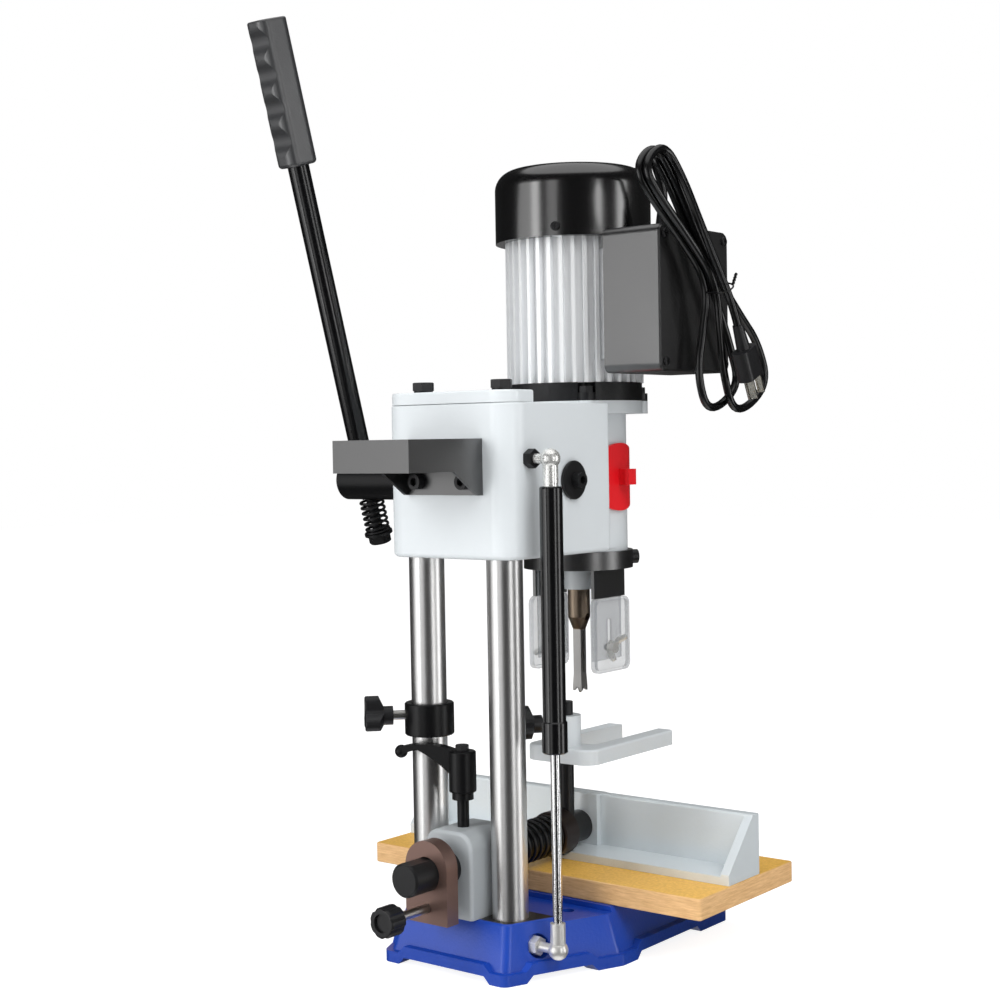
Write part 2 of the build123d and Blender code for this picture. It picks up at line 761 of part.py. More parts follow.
def head_shell():
    box = brick((-HEAD_HALF, HEAD_HALF), (HEAD_FRONT, HEAD_REAR), (HEAD_BOTTOM, HEAD_TOP))
    uprights = box.edges().filter_by(Axis.Z).sort_by(Axis.Y)
    box = fillet(uprights[-2:], HEAD_CORNER)
    box = fillet(box.edges().filter_by(Axis.Z).sort_by(Axis.Y)[:2], 4)
    box = fillet(box.faces().sort_by(Axis.Z)[0].edges(), HEAD_LOW_EDGE)
    box = fillet(box.faces().sort_by(Axis.Z)[-1].edges(), HEAD_TOP_EDGE)
    neck = (SPINDLE_Y, HEAD_FRONT + HEAD_WALL)
    box += brick((-NOSE_DRUM_R, NOSE_DRUM_R), neck, (HEAD_BOTTOM, HEAD_TOP))
    box += spindle_disc(NOSE_DRUM_R, NOSE_DRUM_BOTTOM, MOTOR_SEAT_Z)
    box += spindle_disc(SEAT_FLANGE_R, MOTOR_SEAT_Z - SEAT_FLANGE_THICK, MOTOR_SEAT_Z)
    for ear in flange_ears(SEAT_EAR_R, MOTOR_SEAT_Z - SEAT_FLANGE_THICK, MOTOR_SEAT_Z):
        box += ear
    return box + spindle_disc(NOSE_R, NOSE_BOTTOM, NOSE_DRUM_BOTTOM)


def head_casting():
    head = head_shell()
    room_x = HEAD_HALF - HEAD_WALL
    room_y = (HEAD_FRONT + 6.5, -COLUMN_R / 2)
    head -= brick((-room_x, room_x), room_y, (HEAD_BOTTOM + HEAD_WALL, HEAD_TOP - HEAD_WALL))
    head -= spindle_disc(CHUCK_ROOM_R, CHUCK_ROOM_FLOOR, MOTOR_SEAT_Z + 1)
    head -= spindle_disc(CHISEL_SHANK_R + SEATED, NOSE_BOTTOM - 1, CHUCK_ROOM_FLOOR + 1)
    for x in (-COLUMN_HALF_SPACING, COLUMN_HALF_SPACING):
        head -= bar(COLUMN_R + RUNNING, (x, 0, HEAD_BOTTOM - 1), (x, 0, HEAD_TOP + 1))
    reach = HEAD_HALF + 1
    head -= bar(SHAFT_R + RUNNING, (-reach, PINION_Y, PINION_Z), (reach, PINION_Y, PINION_Z))
    head -= window_block(0)
    for x in (-SHELF_SCREW_X, SHELF_SCREW_X):
        head -= bar(SOCKET_SCREW_R + SEATED, (x, HEAD_REAR - 11, SHELF_SCREW_Z), (x, HEAD_REAR + 1, SHELF_SCREW_Z))
    for x, y in ear_places():
        head -= bar(MOTOR_BOLT_R + SEATED, (x, y, MOTOR_SEAT_Z - MOTOR_BOLT_DEPTH), (x, y, MOTOR_SEAT_Z + 1))
    stud = (STRUT_Y, STRUT_TOP_BALL)
    head -= bar(STUD_R + SEATED, (-reach, *stud), (-HEAD_HALF + 9, *stud))
    direction = lock_direction()
    centre = Vector(0, SPINDLE_Y, COLLAR_BOTTOM + COLLAR_THICK / 2)
    head -= bar(LOCK_SCREW_R + SEATED, centre, centre + direction * (NOSE_R + 2))
    return head


def lock_direction():
    angle = radians(LOCK_SCREW_ANGLE)
    return Vector(-sin(angle), -cos(angle), 0)


def window_block(gap):
    """The space of the chuck window in the drum's left wall, smaller by a gap all round."""
    y = (SPINDLE_Y - WINDOW_HALF_Y + gap, SPINDLE_Y + WINDOW_HALF_Y - gap)
    z = (PINION_Z - WINDOW_HALF_Z + gap, PINION_Z + WINDOW_HALF_Z - gap)
    return brick((-NOSE_DRUM_R - 2, -CHUCK_ROOM_R * 0.7), y, z)


def drum_outline(radius, low, high):
    """The drum and the flat-sided neck behind it, at a radius."""
    neck = (SPINDLE_Y, HEAD_FRONT)
    return spindle_disc(radius, low, high) + brick((-radius, radius), neck, (low, high))


def access_cover():
    """The pull-off cover of the chuck window: a curved plate, a plug and a finger tab."""
    side = WINDOW_HALF_Z + COVER_LAP_Z
    crown = side + COVER_BOW
    low = PINION_Z - crown
    high = PINION_Z + crown
    inner = NOSE_DRUM_R + SLIDING
    shell = drum_outline(inner + COVER_THICK, low, high) - drum_outline(inner, low, high)
    half = WINDOW_HALF_Y + COVER_LAP
    top = ThreePointArc((-half, side), (0, crown), (half, side))
    foot = ThreePointArc((half, -side), (0, -crown), (-half, -side))
    ends = [Line((half, side), (half, -side)), Line((-half, -side), (-half, side))]
    face = make_face([top, foot] + ends)
    face = fillet(face.vertices(), COVER_CORNER)
    cutter = Pos(0, SPINDLE_Y, PINION_Z) * extrude(Plane.YZ * face, -(inner + COVER_TAB))
    plate = shell & cutter
    plug = window_block(SLIDING) & drum_outline(inner + 1, low, high)
    plug -= spindle_disc(CHUCK_ROOM_R + COVER_THICK, low, high)
    end = -inner - COVER_TAB
    tab_y = (SPINDLE_Y - COVER_TAB_HALF_Y, SPINDLE_Y + COVER_TAB_HALF_Y)
    tab_z = (PINION_Z - COVER_TAB_HALF_Z, PINION_Z + COVER_TAB_HALF_Z)
    grip_y = (SPINDLE_Y - 2 * COVER_TAB_HALF_Y, SPINDLE_Y + 2 * COVER_TAB_HALF_Y)
    tab = brick((end, -inner), tab_y, tab_z)
    return plate + plug + tab + brick((end, end + COVER_TAB_GRIP), grip_y, tab_z)


def involute(radius):
    """The involute's polar angle at a radius of the pinion."""
    ratio = PITCH_R * cos(radians(PRESSURE_ANGLE)) / radius
    return tan(acos(ratio)) - acos(ratio)


def pinion_outline():
    """The pinion's teeth, the first one centred on the rack's pitch point."""
    base_r = PITCH_R * cos(radians(PRESSURE_ANGLE))
    tip = PITCH_R + ADDENDUM
    root = PITCH_R - DEDENDUM
    half = (PITCH / 2 - TOOTH_BACKLASH) / (2 * PITCH_R) + involute(PITCH_R)
    start = max(base_r, root)
    radii = [start + (tip - start) * i / 4 for i in range(5)]
    flank = [(root, half - involute(start))] + [(r, half - involute(r)) for r in radii]
    points = []
    for i in range(PINION_TEETH):
        centre = 2 * pi * i / PINION_TEETH
        for r, a in flank:
            points.append((r * cos(centre - a), r * sin(centre - a)))
        for r, a in reversed(flank):
            points.append((r * cos(centre + a), r * sin(centre + a)))
    return make_face(Polyline(*points, close=True))


def pinion_shaft():
    """The pinion and its shaft in one piece, from the left washer into the lever hub."""
    teeth = Plane.YZ * extrude(pinion_outline(), PINION_WIDTH / 2, both=True)
    gear = Pos(COLUMN_HALF_SPACING, PINION_Y, PINION_Z) * teeth
    for angle in range(0, 360, 72):
        turn = radians(angle + 36)
        y = PINION_Y + 0.62 * PITCH_R * cos(turn)
        z = PINION_Z + 0.62 * PITCH_R * sin(turn)
        gear -= bar(9, (0, y, z), (2 * COLUMN_HALF_SPACING, y, z))
    left = -HEAD_HALF - SLIDING
    right = LEVER_X - LEVER_R - 2
    shaft = bar(SHAFT_R, (left, PINION_Y, PINION_Z), (right, PINION_Y, PINION_Z))
    tapped = bar(SOCKET_SCREW_R + SEATED, (left - 1, PINION_Y, PINION_Z), (left + 16, PINION_Y, PINION_Z))
    return gear + shaft - tapped


def shaft_end_washer():
    """The retaining washer on the shaft's left end, and its socket screw."""
    seat = -HEAD_HALF - SLIDING
    face = seat - SHAFT_WASHER_THICK
    washer = bar(SHAFT_WASHER_R, (face, PINION_Y, PINION_Z), (seat, PINION_Y, PINION_Z))
    washer -= bar(SOCKET_SCREW_R + SEATED, (face - 1, PINION_Y, PINION_Z), (seat + 1, PINION_Y, PINION_Z))
    washer = chamfer(washer.edges().filter_by(GeomType.CIRCLE).sort_by(SortBy.LENGTH)[-2:], 0.8)
    return [washer, socket_screw((face, PINION_Y, PINION_Z), (-1, 0, 0), SHAFT_WASHER_THICK + 14)]


def socket_screw(seat, outward, length):
    """A hexagon socket screw whose head stands outward from its seat."""
    seat = Vector(*seat)
    outward = Vector(*outward)
    head_r = 1.6 * SOCKET_SCREW_R
    head_h = 1.9 * SOCKET_SCREW_R
    screw = bar(SOCKET_SCREW_R, seat - outward * length, seat + outward)
    screw += bar(head_r, seat, seat + outward * head_h)
    return screw - hexagon(0.95 * SOCKET_SCREW_R, head_h, seat + outward * 0.45 * head_h, outward)


def along_lever(distance):
    return PIVOT + LEVER_AXIS * distance


def lever_hub():
    hub = bar(HUB_R, (HEAD_HALF + SLIDING, PINION_Y, PINION_Z), (HUB_END, PINION_Y, PINION_Z))
    hub = chamfer(hub.edges().filter_by(GeomType.CIRCLE), 1.2)
    inner = LEVER_X - LEVER_R - 2
    hub -= bar(SHAFT_R + SEATED, (HEAD_HALF - 1, PINION_Y, PINION_Z), (inner, PINION_Y, PINION_Z))
    seat = -(HUB_R - 5)
    hub -= bar(LEVER_R + RUNNING, along_lever(seat), along_lever(HUB_R + 2))
    return hub - bar(LEVER_BOLT_R + RUNNING, along_lever(-HUB_R - 2), along_lever(seat + 1))


def lever_tube():
    start = -(HUB_R - 5) + SLIDING
    tube = bar(LEVER_R, along_lever(start), along_lever(LEVER_LENGTH))
    return tube - bar(LEVER_BOLT_R + SEATED, along_lever(start - 1), along_lever(start + 16))


def lever_grip():
    """The moulded grip: a sleeve of rounded section with finger hollows down one side."""
    turn = radians(GRIP_TURN)
    level = Vector(sin(turn), cos(turn), 0)
    fingers = (level - LEVER_AXIS * level.dot(LEVER_AXIS)).normalized()
    length = GRIP_END - GRIP_START
    step = (length - GRIP_COLLAR - GRIP_LIP) / GRIP_HOLLOWS
    wave = [Vector(GRIP_R, 0, 0), Vector(GRIP_R, 0, GRIP_COLLAR)]
    for i in range(GRIP_HOLLOWS):
        crest = GRIP_COLLAR + i * step
        wave.append(Vector(GRIP_R - GRIP_HOLLOW, 0, crest + step / 2))
        wave.append(Vector(GRIP_R, 0, crest + step))
    wave.append(Vector(GRIP_R, 0, length))
    edge = arcs_through(wave, [Vector(0, 0, 1)] * len(wave))
    back = Polyline(wave[-1], (-2 * GRIP_R, 0, length), (-2 * GRIP_R, 0, 0), wave[0])
    side = extrude(make_face(edge.edges() + back.edges()), GRIP_R, both=True)
    sleeve = extrude(RectangleRounded(2 * GRIP_R, 2 * GRIP_HALF, GRIP_CORNER), length)
    sleeve = fillet(sleeve.faces().sort_by(Axis.Z)[-1].edges(), GRIP_END_EDGE)
    sleeve = fillet(sleeve.faces().sort_by(Axis.Z)[0].edges(), GRIP_FOOT_EDGE)
    grip = Plane(origin=along_lever(GRIP_START), x_dir=fingers, z_dir=LEVER_AXIS) * (sleeve & side)
    return grip - bar(LEVER_R + SEATED, along_lever(GRIP_START - 1), along_lever(LEVER_LENGTH + SEATED))


def lever_end_bolt():
    top = -(HUB_R - 5) + SLIDING + 14
    seat = -HUB_R - LEVER_SPRING_LENGTH
    bolt = bar(LEVER_BOLT_R, along_lever(seat), along_lever(top))
    bolt += bar(LEVER_SPRING_R + LEVER_SPRING_WIRE, along_lever(seat - LEVER_FLANGE), along_lever(seat))
    return bolt + hex_head(LEVER_HEX_R, LEVER_HEX_THICK, along_lever(seat - LEVER_FLANGE), -LEVER_AXIS)


def lever_spring():
    length = LEVER_SPRING_LENGTH - 2 * SLIDING
    spring = coil_spring("lever_spring", LEVER_SPRING_WIRE, LEVER_SPRING_R, length, LEVER_SPRING_TURNS)
    foot = along_lever(-HUB_R - LEVER_SPRING_LENGTH + SLIDING)
    return Plane(origin=foot, x_dir=(1, 0, 0), z_dir=LEVER_AXIS) * spring


def tool_shelf():
    """A black steel shelf on the head's rear, with holes that hold spare chisels."""
    rear = HEAD_REAR + SHELF_REACH
    low = SHELF_TOP - SHELF_SKIRT
    shelf = brick((-SHELF_HALF, SHELF_HALF), (HEAD_REAR, rear), (SHELF_TOP - SHELF_SHEET, SHELF_TOP))
    shelf += brick((-SHELF_HALF, SHELF_HALF), (rear - SHELF_SHEET, rear), (low, SHELF_TOP))
    back = (HEAD_REAR, HEAD_REAR + SHELF_SHEET)
    shelf += brick((-SHELF_HALF, SHELF_HALF), back, (SHELF_TOP - SHELF_BACK, SHELF_TOP))
    profile = Polyline(
        (HEAD_REAR, SHELF_TOP - SHELF_BACK),
        (HEAD_REAR + SHELF_GUSSET_FOOT, SHELF_TOP - SHELF_BACK),
        (HEAD_REAR + SHELF_GUSSET, low),
        (rear, low),
        (rear, SHELF_TOP),
        (HEAD_REAR, SHELF_TOP),
        close=True,
    )
    cheek = extrude(Plane.YZ * make_face(profile), SHELF_SHEET)
    shelf += Pos(-SHELF_HALF, 0, 0) * cheek
    shelf += Pos(SHELF_HALF - SHELF_SHEET, 0, 0) * cheek
    for x in (-SHELF_HALF / 2, SHELF_HALF / 2):
        for y in (HEAD_REAR + SHELF_REACH * 0.32, HEAD_REAR + SHELF_REACH * 0.7):
            shelf -= bar(SHELF_HOLE_R, (x, y, SHELF_TOP - 2 * SHELF_SHEET), (x, y, SHELF_TOP + 1))
    for x in (-SHELF_SCREW_X, SHELF_SCREW_X):
        shelf -= bar(SOCKET_SCREW_R + SLIDING, (x, HEAD_REAR - 1, SHELF_SCREW_Z), (x, back[1] + 1, SHELF_SCREW_Z))
    return shelf


def head_socket_screws():
    """The two shelf screws and the screw that clamps the chisel."""
    seat = HEAD_REAR + SHELF_SHEET
    places = (-SHELF_SCREW_X, SHELF_SCREW_X)
    screws = [socket_screw((x, seat, SHELF_SCREW_Z), (0, 1, 0), SHELF_SHEET + 9) for x in places]
    return screws + [chisel_lock_screw()]


def motor_flange():
    flange = spindle_disc(SEAT_FLANGE_R, MOTOR_SEAT_Z, MOTOR_BASE)
    for ear in flange_ears(SEAT_EAR_R, MOTOR_SEAT_Z, MOTOR_SEAT_Z + MOTOR_EAR_THICK):
        flange += ear
    for head_room in flange_ears(MOTOR_HEX_R + 1.5, MOTOR_SEAT_Z + MOTOR_EAR_THICK, MOTOR_BASE + 1):
        flange -= head_room
    flange += spindle_disc(CHUCK_ROOM_R - SEATED, MOTOR_SEAT_Z - 4, MOTOR_SEAT_Z)
    flange -= spindle_disc(ROTOR_SHAFT_R + 4, MOTOR_SEAT_Z - 5, MOTOR_BASE + 1)
    flange -= spindle_disc(BEARING_R + SEATED, MOTOR_BASE - BEARING_WIDTH, MOTOR_BASE + 1)
    for hole in flange_ears(MOTOR_BOLT_R + SLIDING, MOTOR_SEAT_Z - 1, MOTOR_BASE):
        flange -= hole
    return flange


def motor_bolts():
    seat = MOTOR_SEAT_Z + MOTOR_EAR_THICK
    bolts = []
    for x, y in ear_places():
        shank = bar(MOTOR_BOLT_R, (x, y, MOTOR_SEAT_Z - MOTOR_BOLT_DEPTH + 0.5), (x, y, seat + 1))
        bolts.append(shank + hex_head(MOTOR_HEX_R, MOTOR_HEX_THICK, (x, y, seat), (0, 0, 1)))
    return bolts


def motor_housing():
    """The finned motor body with its upper bearing wall and the pad that carries the switch box."""
    profile = Circle(MOTOR_CORE_R)
    for i in range(FIN_COUNT):
        fin = Pos((MOTOR_CORE_R + MOTOR_R) / 2 - 1, 0) * Rectangle(MOTOR_R - MOTOR_CORE_R + 2, FIN_WIDTH)
        profile += Rot(0, 0, 360 * (i + 0.5) / FIN_COUNT) * fin
    profile = profile & Circle(MOTOR_R)
    body = Pos(0, SPINDLE_Y, MOTOR_BASE) * extrude(profile, MOTOR_LENGTH)
    saddle_y = (SPINDLE_Y - SADDLE_HALF_Y, SPINDLE_Y + SADDLE_HALF_Y)
    saddle_z = (SADDLE_Z - SADDLE_HALF_Z, SADDLE_Z + SADDLE_HALF_Z)
    body += brick((BOX_INNER_X, -MOTOR_BORE_R + SADDLE_ROOT), saddle_y, saddle_z)
    body -= spindle_disc(MOTOR_BORE_R, MOTOR_BASE - 1, MOTOR_TOP - END_WALL)
    body -= spindle_disc(ROTOR_SHAFT_R + 4, MOTOR_BASE - 1, MOTOR_TOP + 1)
    body -= spindle_disc(BEARING_R + SEATED, MOTOR_TOP - BEARING_WIDTH, MOTOR_TOP + 1)
    for out in fan_screw_directions():
        body += fan_post(out, FAN_POST_R)
        body -= fan_screw_hole(out)
    return body


def fan_screw_directions():
    """The three directions, out from the motor's axis, of the fan cover's screws."""
    angles = [radians(FAN_SCREW_ANGLE + 120 * i) for i in range(3)]
    return [Vector(cos(a), sin(a), 0) for a in angles]


def fan_screw_point(out, radius):
    return Vector(0, SPINDLE_Y, MOTOR_TOP + FAN_SCREW_RISE) + out * radius


def fan_post(out, radius):
    """A post on the motor's top that one of the fan cover's screws bites into."""
    post_at = fan_screw_point(out, FAN_COVER_R - FAN_COVER_WALL - 2 * SLIDING - FAN_POST_R)
    foot = Vector(post_at.X, post_at.Y, MOTOR_TOP - FAN_COVER_SKIRT)
    return bar(radius, foot, foot + Vector(0, 0, FAN_COVER_SKIRT + FAN_POST_RISE))


def fan_screw_hole(out):
    inner = FAN_COVER_R - FAN_SCREW_BITE - SLIDING
    return bar(COVER_SCREW_R + SEATED, fan_screw_point(out, inner), fan_screw_point(out, FAN_COVER_R + 1))


def stator_and_bearings():
    """The stator core and the two shaft bearings, held in the motor body."""
    bearings = [stator_core()]
    for low in (MOTOR_BASE - BEARING_WIDTH, MOTOR_TOP - BEARING_WIDTH):
        ring = spindle_disc(BEARING_R, low, low + BEARING_WIDTH)
        bearings.append(ring - spindle_disc(ROTOR_SHAFT_R + RUNNING, low - 1, low + BEARING_WIDTH + 1))
    return bearings


def stator_core():
    middle = (MOTOR_BASE + MOTOR_TOP - END_WALL) / 2
    low = middle - STATOR_LENGTH / 2
    high = middle + STATOR_LENGTH / 2
    return spindle_disc(MOTOR_BORE_R - SEATED, low, high) - spindle_disc(STATOR_BORE_R, low - 1, high + 1)


def rotor():
    middle = (MOTOR_BASE + MOTOR_TOP - END_WALL) / 2
    low = middle - STATOR_LENGTH / 2
    shaft = spindle_disc(ROTOR_SHAFT_R, CHUCK_TOP - 24, MOTOR_TOP + 12 + FAN_HEIGHT)
    return shaft + spindle_disc(ROTOR_R, low, low + STATOR_LENGTH)


def cooling_fan():
    low = MOTOR_TOP + 10
    fan = spindle_disc(16, low, low + FAN_HEIGHT) + spindle_disc(FAN_R, low, low + 3)
    for i in range(FAN_BLADES):
        blade = Pos((FAN_R + 14) / 2, 0, FAN_HEIGHT / 2) * Box(FAN_R - 14, 2.4, FAN_HEIGHT)
        fan += Pos(0, SPINDLE_Y, low) * Rot(0, 0, 360 * i / FAN_BLADES) * blade
    return fan - spindle_disc(ROTOR_SHAFT_R + SEATED, low - 1, low + FAN_HEIGHT + 1)


def fan_cover():
    high = MOTOR_TOP + FAN_COVER_HEIGHT - FAN_COVER_SKIRT
    low = MOTOR_TOP - FAN_COVER_SKIRT
    cup = spindle_disc(FAN_COVER_R, low, high)
    cup = fillet(cup.edges().filter_by(GeomType.CIRCLE).sort_by(Axis.Z)[-1], FAN_COVER_EDGE)
    inner_r = FAN_COVER_R - FAN_COVER_WALL
    room = spindle_disc(inner_r, low - 1, high - FAN_COVER_WALL)
    room = fillet(room.edges().filter_by(GeomType.CIRCLE).sort_by(Axis.Z)[-1], FAN_COVER_EDGE - FAN_COVER_WALL)
    cup -= room
    cup += spindle_disc(inner_r + 1, low, low + 3) - spindle_disc(MOTOR_R + SEATED, low - 1, low + 4)
    for i in range(FAN_SLOTS):
        slot = Pos(FAN_SLOT_AT, 0, 0) * Box(FAN_SLOT_LENGTH, FAN_SLOT_WIDTH, 4 * FAN_COVER_WALL)
        cup -= Pos(0, SPINDLE_Y, high) * Rot(0, 0, 360 * i / FAN_SLOTS) * slot
    for out in fan_screw_directions():
        cup -= fan_post(out, FAN_POST_R + SLIDING) + fan_screw_hole(out)
    return cup


def drill_chuck():
    low = CHUCK_TOP - CHUCK_LENGTH
    body = spindle_disc(CHUCK_R, low + 16, CHUCK_TOP)
    body += taper(9, CHUCK_R - 2, (0, SPINDLE_Y, low), (0, SPINDLE_Y, low + 16))
    body -= spindle_disc(ROTOR_SHAFT_R + SEATED, CHUCK_TOP - 24, CHUCK_TOP + 1)
    return body - spindle_disc(BIT_R + SEATED, low - 1, low + 26)


def auger_bit():
    top = CHUCK_TOP - CHUCK_LENGTH + 25
    tip = CHISEL_TIP - BIT_TIP_DROP
    bit = spindle_disc(BIT_R, tip + BIT_LEAD, top)
    lead = taper(BIT_LEAD_R, BIT_R, (0, SPINDLE_Y, tip), (0, SPINDLE_Y, tip + BIT_LEAD))
    return bit + lead


def chisel():
    """The hollow square chisel with its chip window, side slot and four pointed corners."""
    body = spindle_disc(CHISEL_SHANK_R, NOSE_BOTTOM, NOSE_DRUM_BOTTOM)
    body += spindle_disc(CHISEL_SHOULDER_R, CHISEL_SHOULDER_END, NOSE_BOTTOM - SLIDING)
    body += spindle_disc(CHISEL_SHANK_R, NOSE_BOTTOM - 2, NOSE_BOTTOM)
    flare_low = CHISEL_TIP + CHISEL_LIP
    flare_high = flare_low + CHISEL_FLARE
    ring = Pos(0, SPINDLE_Y, CHISEL_SHOULDER_END) * Circle(CHISEL_SHOULDER_R)
    body += loft([chisel_square(CHISEL_SHANK_SIDE, CHISEL_TAPER_END), ring])
    body += extrude(chisel_square(CHISEL_SHANK_SIDE, flare_high), CHISEL_TAPER_END - flare_high)
    body += loft([chisel_square(CHISEL_SIDE, flare_low), chisel_square(CHISEL_SHANK_SIDE, flare_high)])
    body += extrude(chisel_square(CHISEL_SIDE, CHISEL_TIP), CHISEL_LIP)
    body -= spindle_disc(CHISEL_BORE_R, CHISEL_TIP - 1, NOSE_DRUM_BOTTOM + 1)
    slot_y = (SPINDLE_Y - CHISEL_SLOT / 2, SPINDLE_Y + CHISEL_SLOT / 2)
    body -= brick((-CHISEL_SIDE, 0), slot_y, (flare_high, CHISEL_TAPER_END - CHISEL_SLOT))
    port = (SPINDLE_Y, CHISEL_SHOULDER_END)
    body -= bar(CHISEL_PORT_R, (-CHISEL_SHOULDER_R - 1, *port), (0, *port))
    half = CHISEL_SIDE / 2 - CHISEL_POINT
    notch = Polyline((-half, -1), (0, CHISEL_NOTCH), (half, -1), close=True)
    vee = extrude(Plane.XZ * make_face(notch), CHISEL_SIDE, both=True)
    body -= Pos(0, SPINDLE_Y, CHISEL_TIP) * vee
    return body - Pos(0, SPINDLE_Y, CHISEL_TIP) * Rot(0, 0, 90) * vee


def chisel_square(side, z):
    return Pos(0, SPINDLE_Y, z) * Rectangle(side, side)


def guard_bracket():
    """The black collar under the head with the two legs that carry the chip guards."""
    collar = spindle_disc(COLLAR_R, COLLAR_BOTTOM, NOSE_DRUM_BOTTOM)
    collar -= spindle_disc(NOSE_R + SEATED, COLLAR_BOTTOM - 1, NOSE_DRUM_BOTTOM + 1)
    sides = (SPINDLE_Y - LEG_HALF_Y, SPINDLE_Y + LEG_HALF_Y)
    for side in (-1, 1):
        leg = (side * LEG_INNER_X, side * (LEG_INNER_X + LEG_THICK))
        collar += brick(leg, sides, (LEG_BOTTOM, COLLAR_BOTTOM + 1))
    centre = Vector(0, SPINDLE_Y, COLLAR_BOTTOM + COLLAR_THICK / 2)
    direction = lock_direction()
    return collar - bar(LOCK_SCREW_R + SEATED, centre, centre + direction * (COLLAR_R + 2))


def chisel_lock_screw():
    centre = Vector(0, SPINDLE_Y, COLLAR_BOTTOM + COLLAR_THICK / 2)
    direction = lock_direction()
    seat = centre + direction * COLLAR_R
    return socket_screw(seat, direction, COLLAR_R - CHISEL_SHANK_R - SLIDING)


def guard_panels():
    """The two fixed clear panels inside the legs, tapped for the wing screws."""
    panels = []
    sides = (SPINDLE_Y - LEG_HALF_Y + 2, SPINDLE_Y + LEG_HALF_Y - 2)
    for side in (-1, 1):
        span = (side * (LEG_INNER_X - PANEL_THICK), side * LEG_INNER_X)
        panel = brick(span, sides, (PANEL_BOTTOM, COLLAR_BOTTOM))
        hole = (SPINDLE_Y, WING_SCREW_Z)
        panel -= bar(WING_SCREW_R + RUNNING, (side * (LEG_INNER_X - 9), *hole), (side * (LEG_INNER_X + 1), *hole))
        panels.append(panel)
    return panels


def guard_tray(side):
    """A clear tray that slides down the fixed panel on a slot, with a raised rim."""
    inner = LEG_INNER_X + SLIDING
    low = TRAY_BOTTOM
    high = LEG_BOTTOM - SLIDING
    plate = RectangleRounded(2 * TRAY_HALF_Y, high - low, 7)
    hollow = RectangleRounded(2 * TRAY_HALF_Y - 5, high - low - 5, 5)
    slot_top = WING_SCREW_Z + WING_SCREW_R + TRAY_TRAVEL + 18
    slot_low = WING_SCREW_Z - WING_SCREW_R - 1
    slot = Pos(0, (slot_top + slot_low) / 2 - (high + low) / 2) * SlotOverall(slot_top - slot_low, 6.6, rotation=90)
    tray = extrude(plate - slot, TRAY_THICK)
    tray += Pos(0, 0, TRAY_THICK) * extrude(plate - hollow, TRAY_RIM)
    stand = Plane(origin=(side * inner, SPINDLE_Y, (low + high) / 2), x_dir=(0, 1, 0), z_dir=(side, 0, 0))
    if side < 0:
        tray = Rot(0, 0, 180) * tray
    return stand * tray


def wing_screw(side):
    """A wing screw that clamps a tray to its panel."""
    face = LEG_INNER_X + SLIDING + TRAY_THICK + SLIDING
    centre = (SPINDLE_Y, WING_SCREW_Z)
    screw = bar(WING_SCREW_R, (side * (LEG_INNER_X - PANEL_THICK), *centre), (side * (face + 1), *centre))
    screw += taper(WING_HUB_R, WING_HUB_END_R, (side * face, *centre), (side * (face + WING_HUB), *centre))
    turn = radians(WING_TURN)
    along = Vector(0, cos(turn), sin(turn))
    stand = Plane(origin=(side * face, *centre), x_dir=along, z_dir=along.cross(Vector(side, 0, 0)))
    for wing in (-1, 1):
        shape = ((0.1, 0.15), (0.7, 0.15), (1.0, 0.6), (0.85, 0.85), (0.4, 0.4), (0.1, 0.4))
        points = [(wing * WING_REACH * along_x, WING_REACH * out) for along_x, out in shape]
        blade = extrude(outline(points, WING_EDGE), WING_THICK / 2, both=True)
        screw += stand * blade
    return screw


def box_shape(x, grow):
    """The switch box's rounded block between two x limits, smaller by grow all round."""
    y = (SPINDLE_Y - BOX_HALF_Y + grow, SPINDLE_Y + BOX_HALF_Y - grow)
    block = brick(x, y, (BOX_BOTTOM + grow, BOX_TOP - grow))
    return fillet(block.edges().filter_by(Axis.X), BOX_CORNER - grow)


def switch_box():
    box = box_shape((BOX_SPLIT_X, BOX_INNER_X), 0)
    box -= box_shape((BOX_SPLIT_X - 1, BOX_INNER_X - BOX_WALL), BOX_WALL)
    box -= switch_room(0)
    gland = (GLAND_X, GLAND_Y)
    box -= bar(GLAND_STEM_R + SEATED, (*gland, BOX_TOP - BOX_WALL - 1), (*gland, BOX_TOP + 1))
    for y, z in lid_screw_places():
        post_end = BOX_SPLIT_X + LID_POST_LENGTH
        post = bar(LID_POST_R, (BOX_SPLIT_X, y, z), (post_end, y, z))
        box += post & box_shape((BOX_SPLIT_X, BOX_INNER_X), 0)
        box -= bar(COVER_SCREW_R + SEATED, (BOX_SPLIT_X - 1, y, z), (post_end - 3, y, z))
    return box


def switch_middle():
    return ((BOX_INNER_X + BOX_SPLIT_X) / 2, SPINDLE_Y - BOX_HALF_Y, SADDLE_Z)


def switch_room(gap):
    x, y, z = switch_middle()
    span_x = (x - SWITCH_HALF_X + gap, x + SWITCH_HALF_X - gap)
    span_z = (z - SWITCH_HALF_Z + gap, z + SWITCH_HALF_Z - gap)
    return brick(span_x, (y - 1, y + BOX_WALL + 1), span_z)


def lid_screw_places():
    y_reach = BOX_HALF_Y - COVER_SCREW_EDGE
    z_reach = (BOX_TOP - BOX_BOTTOM) / 2 - COVER_SCREW_EDGE
    return [(SPINDLE_Y + a * y_reach, SADDLE_Z + b * z_reach) for a in (-1, 1) for b in (-1, 1)]


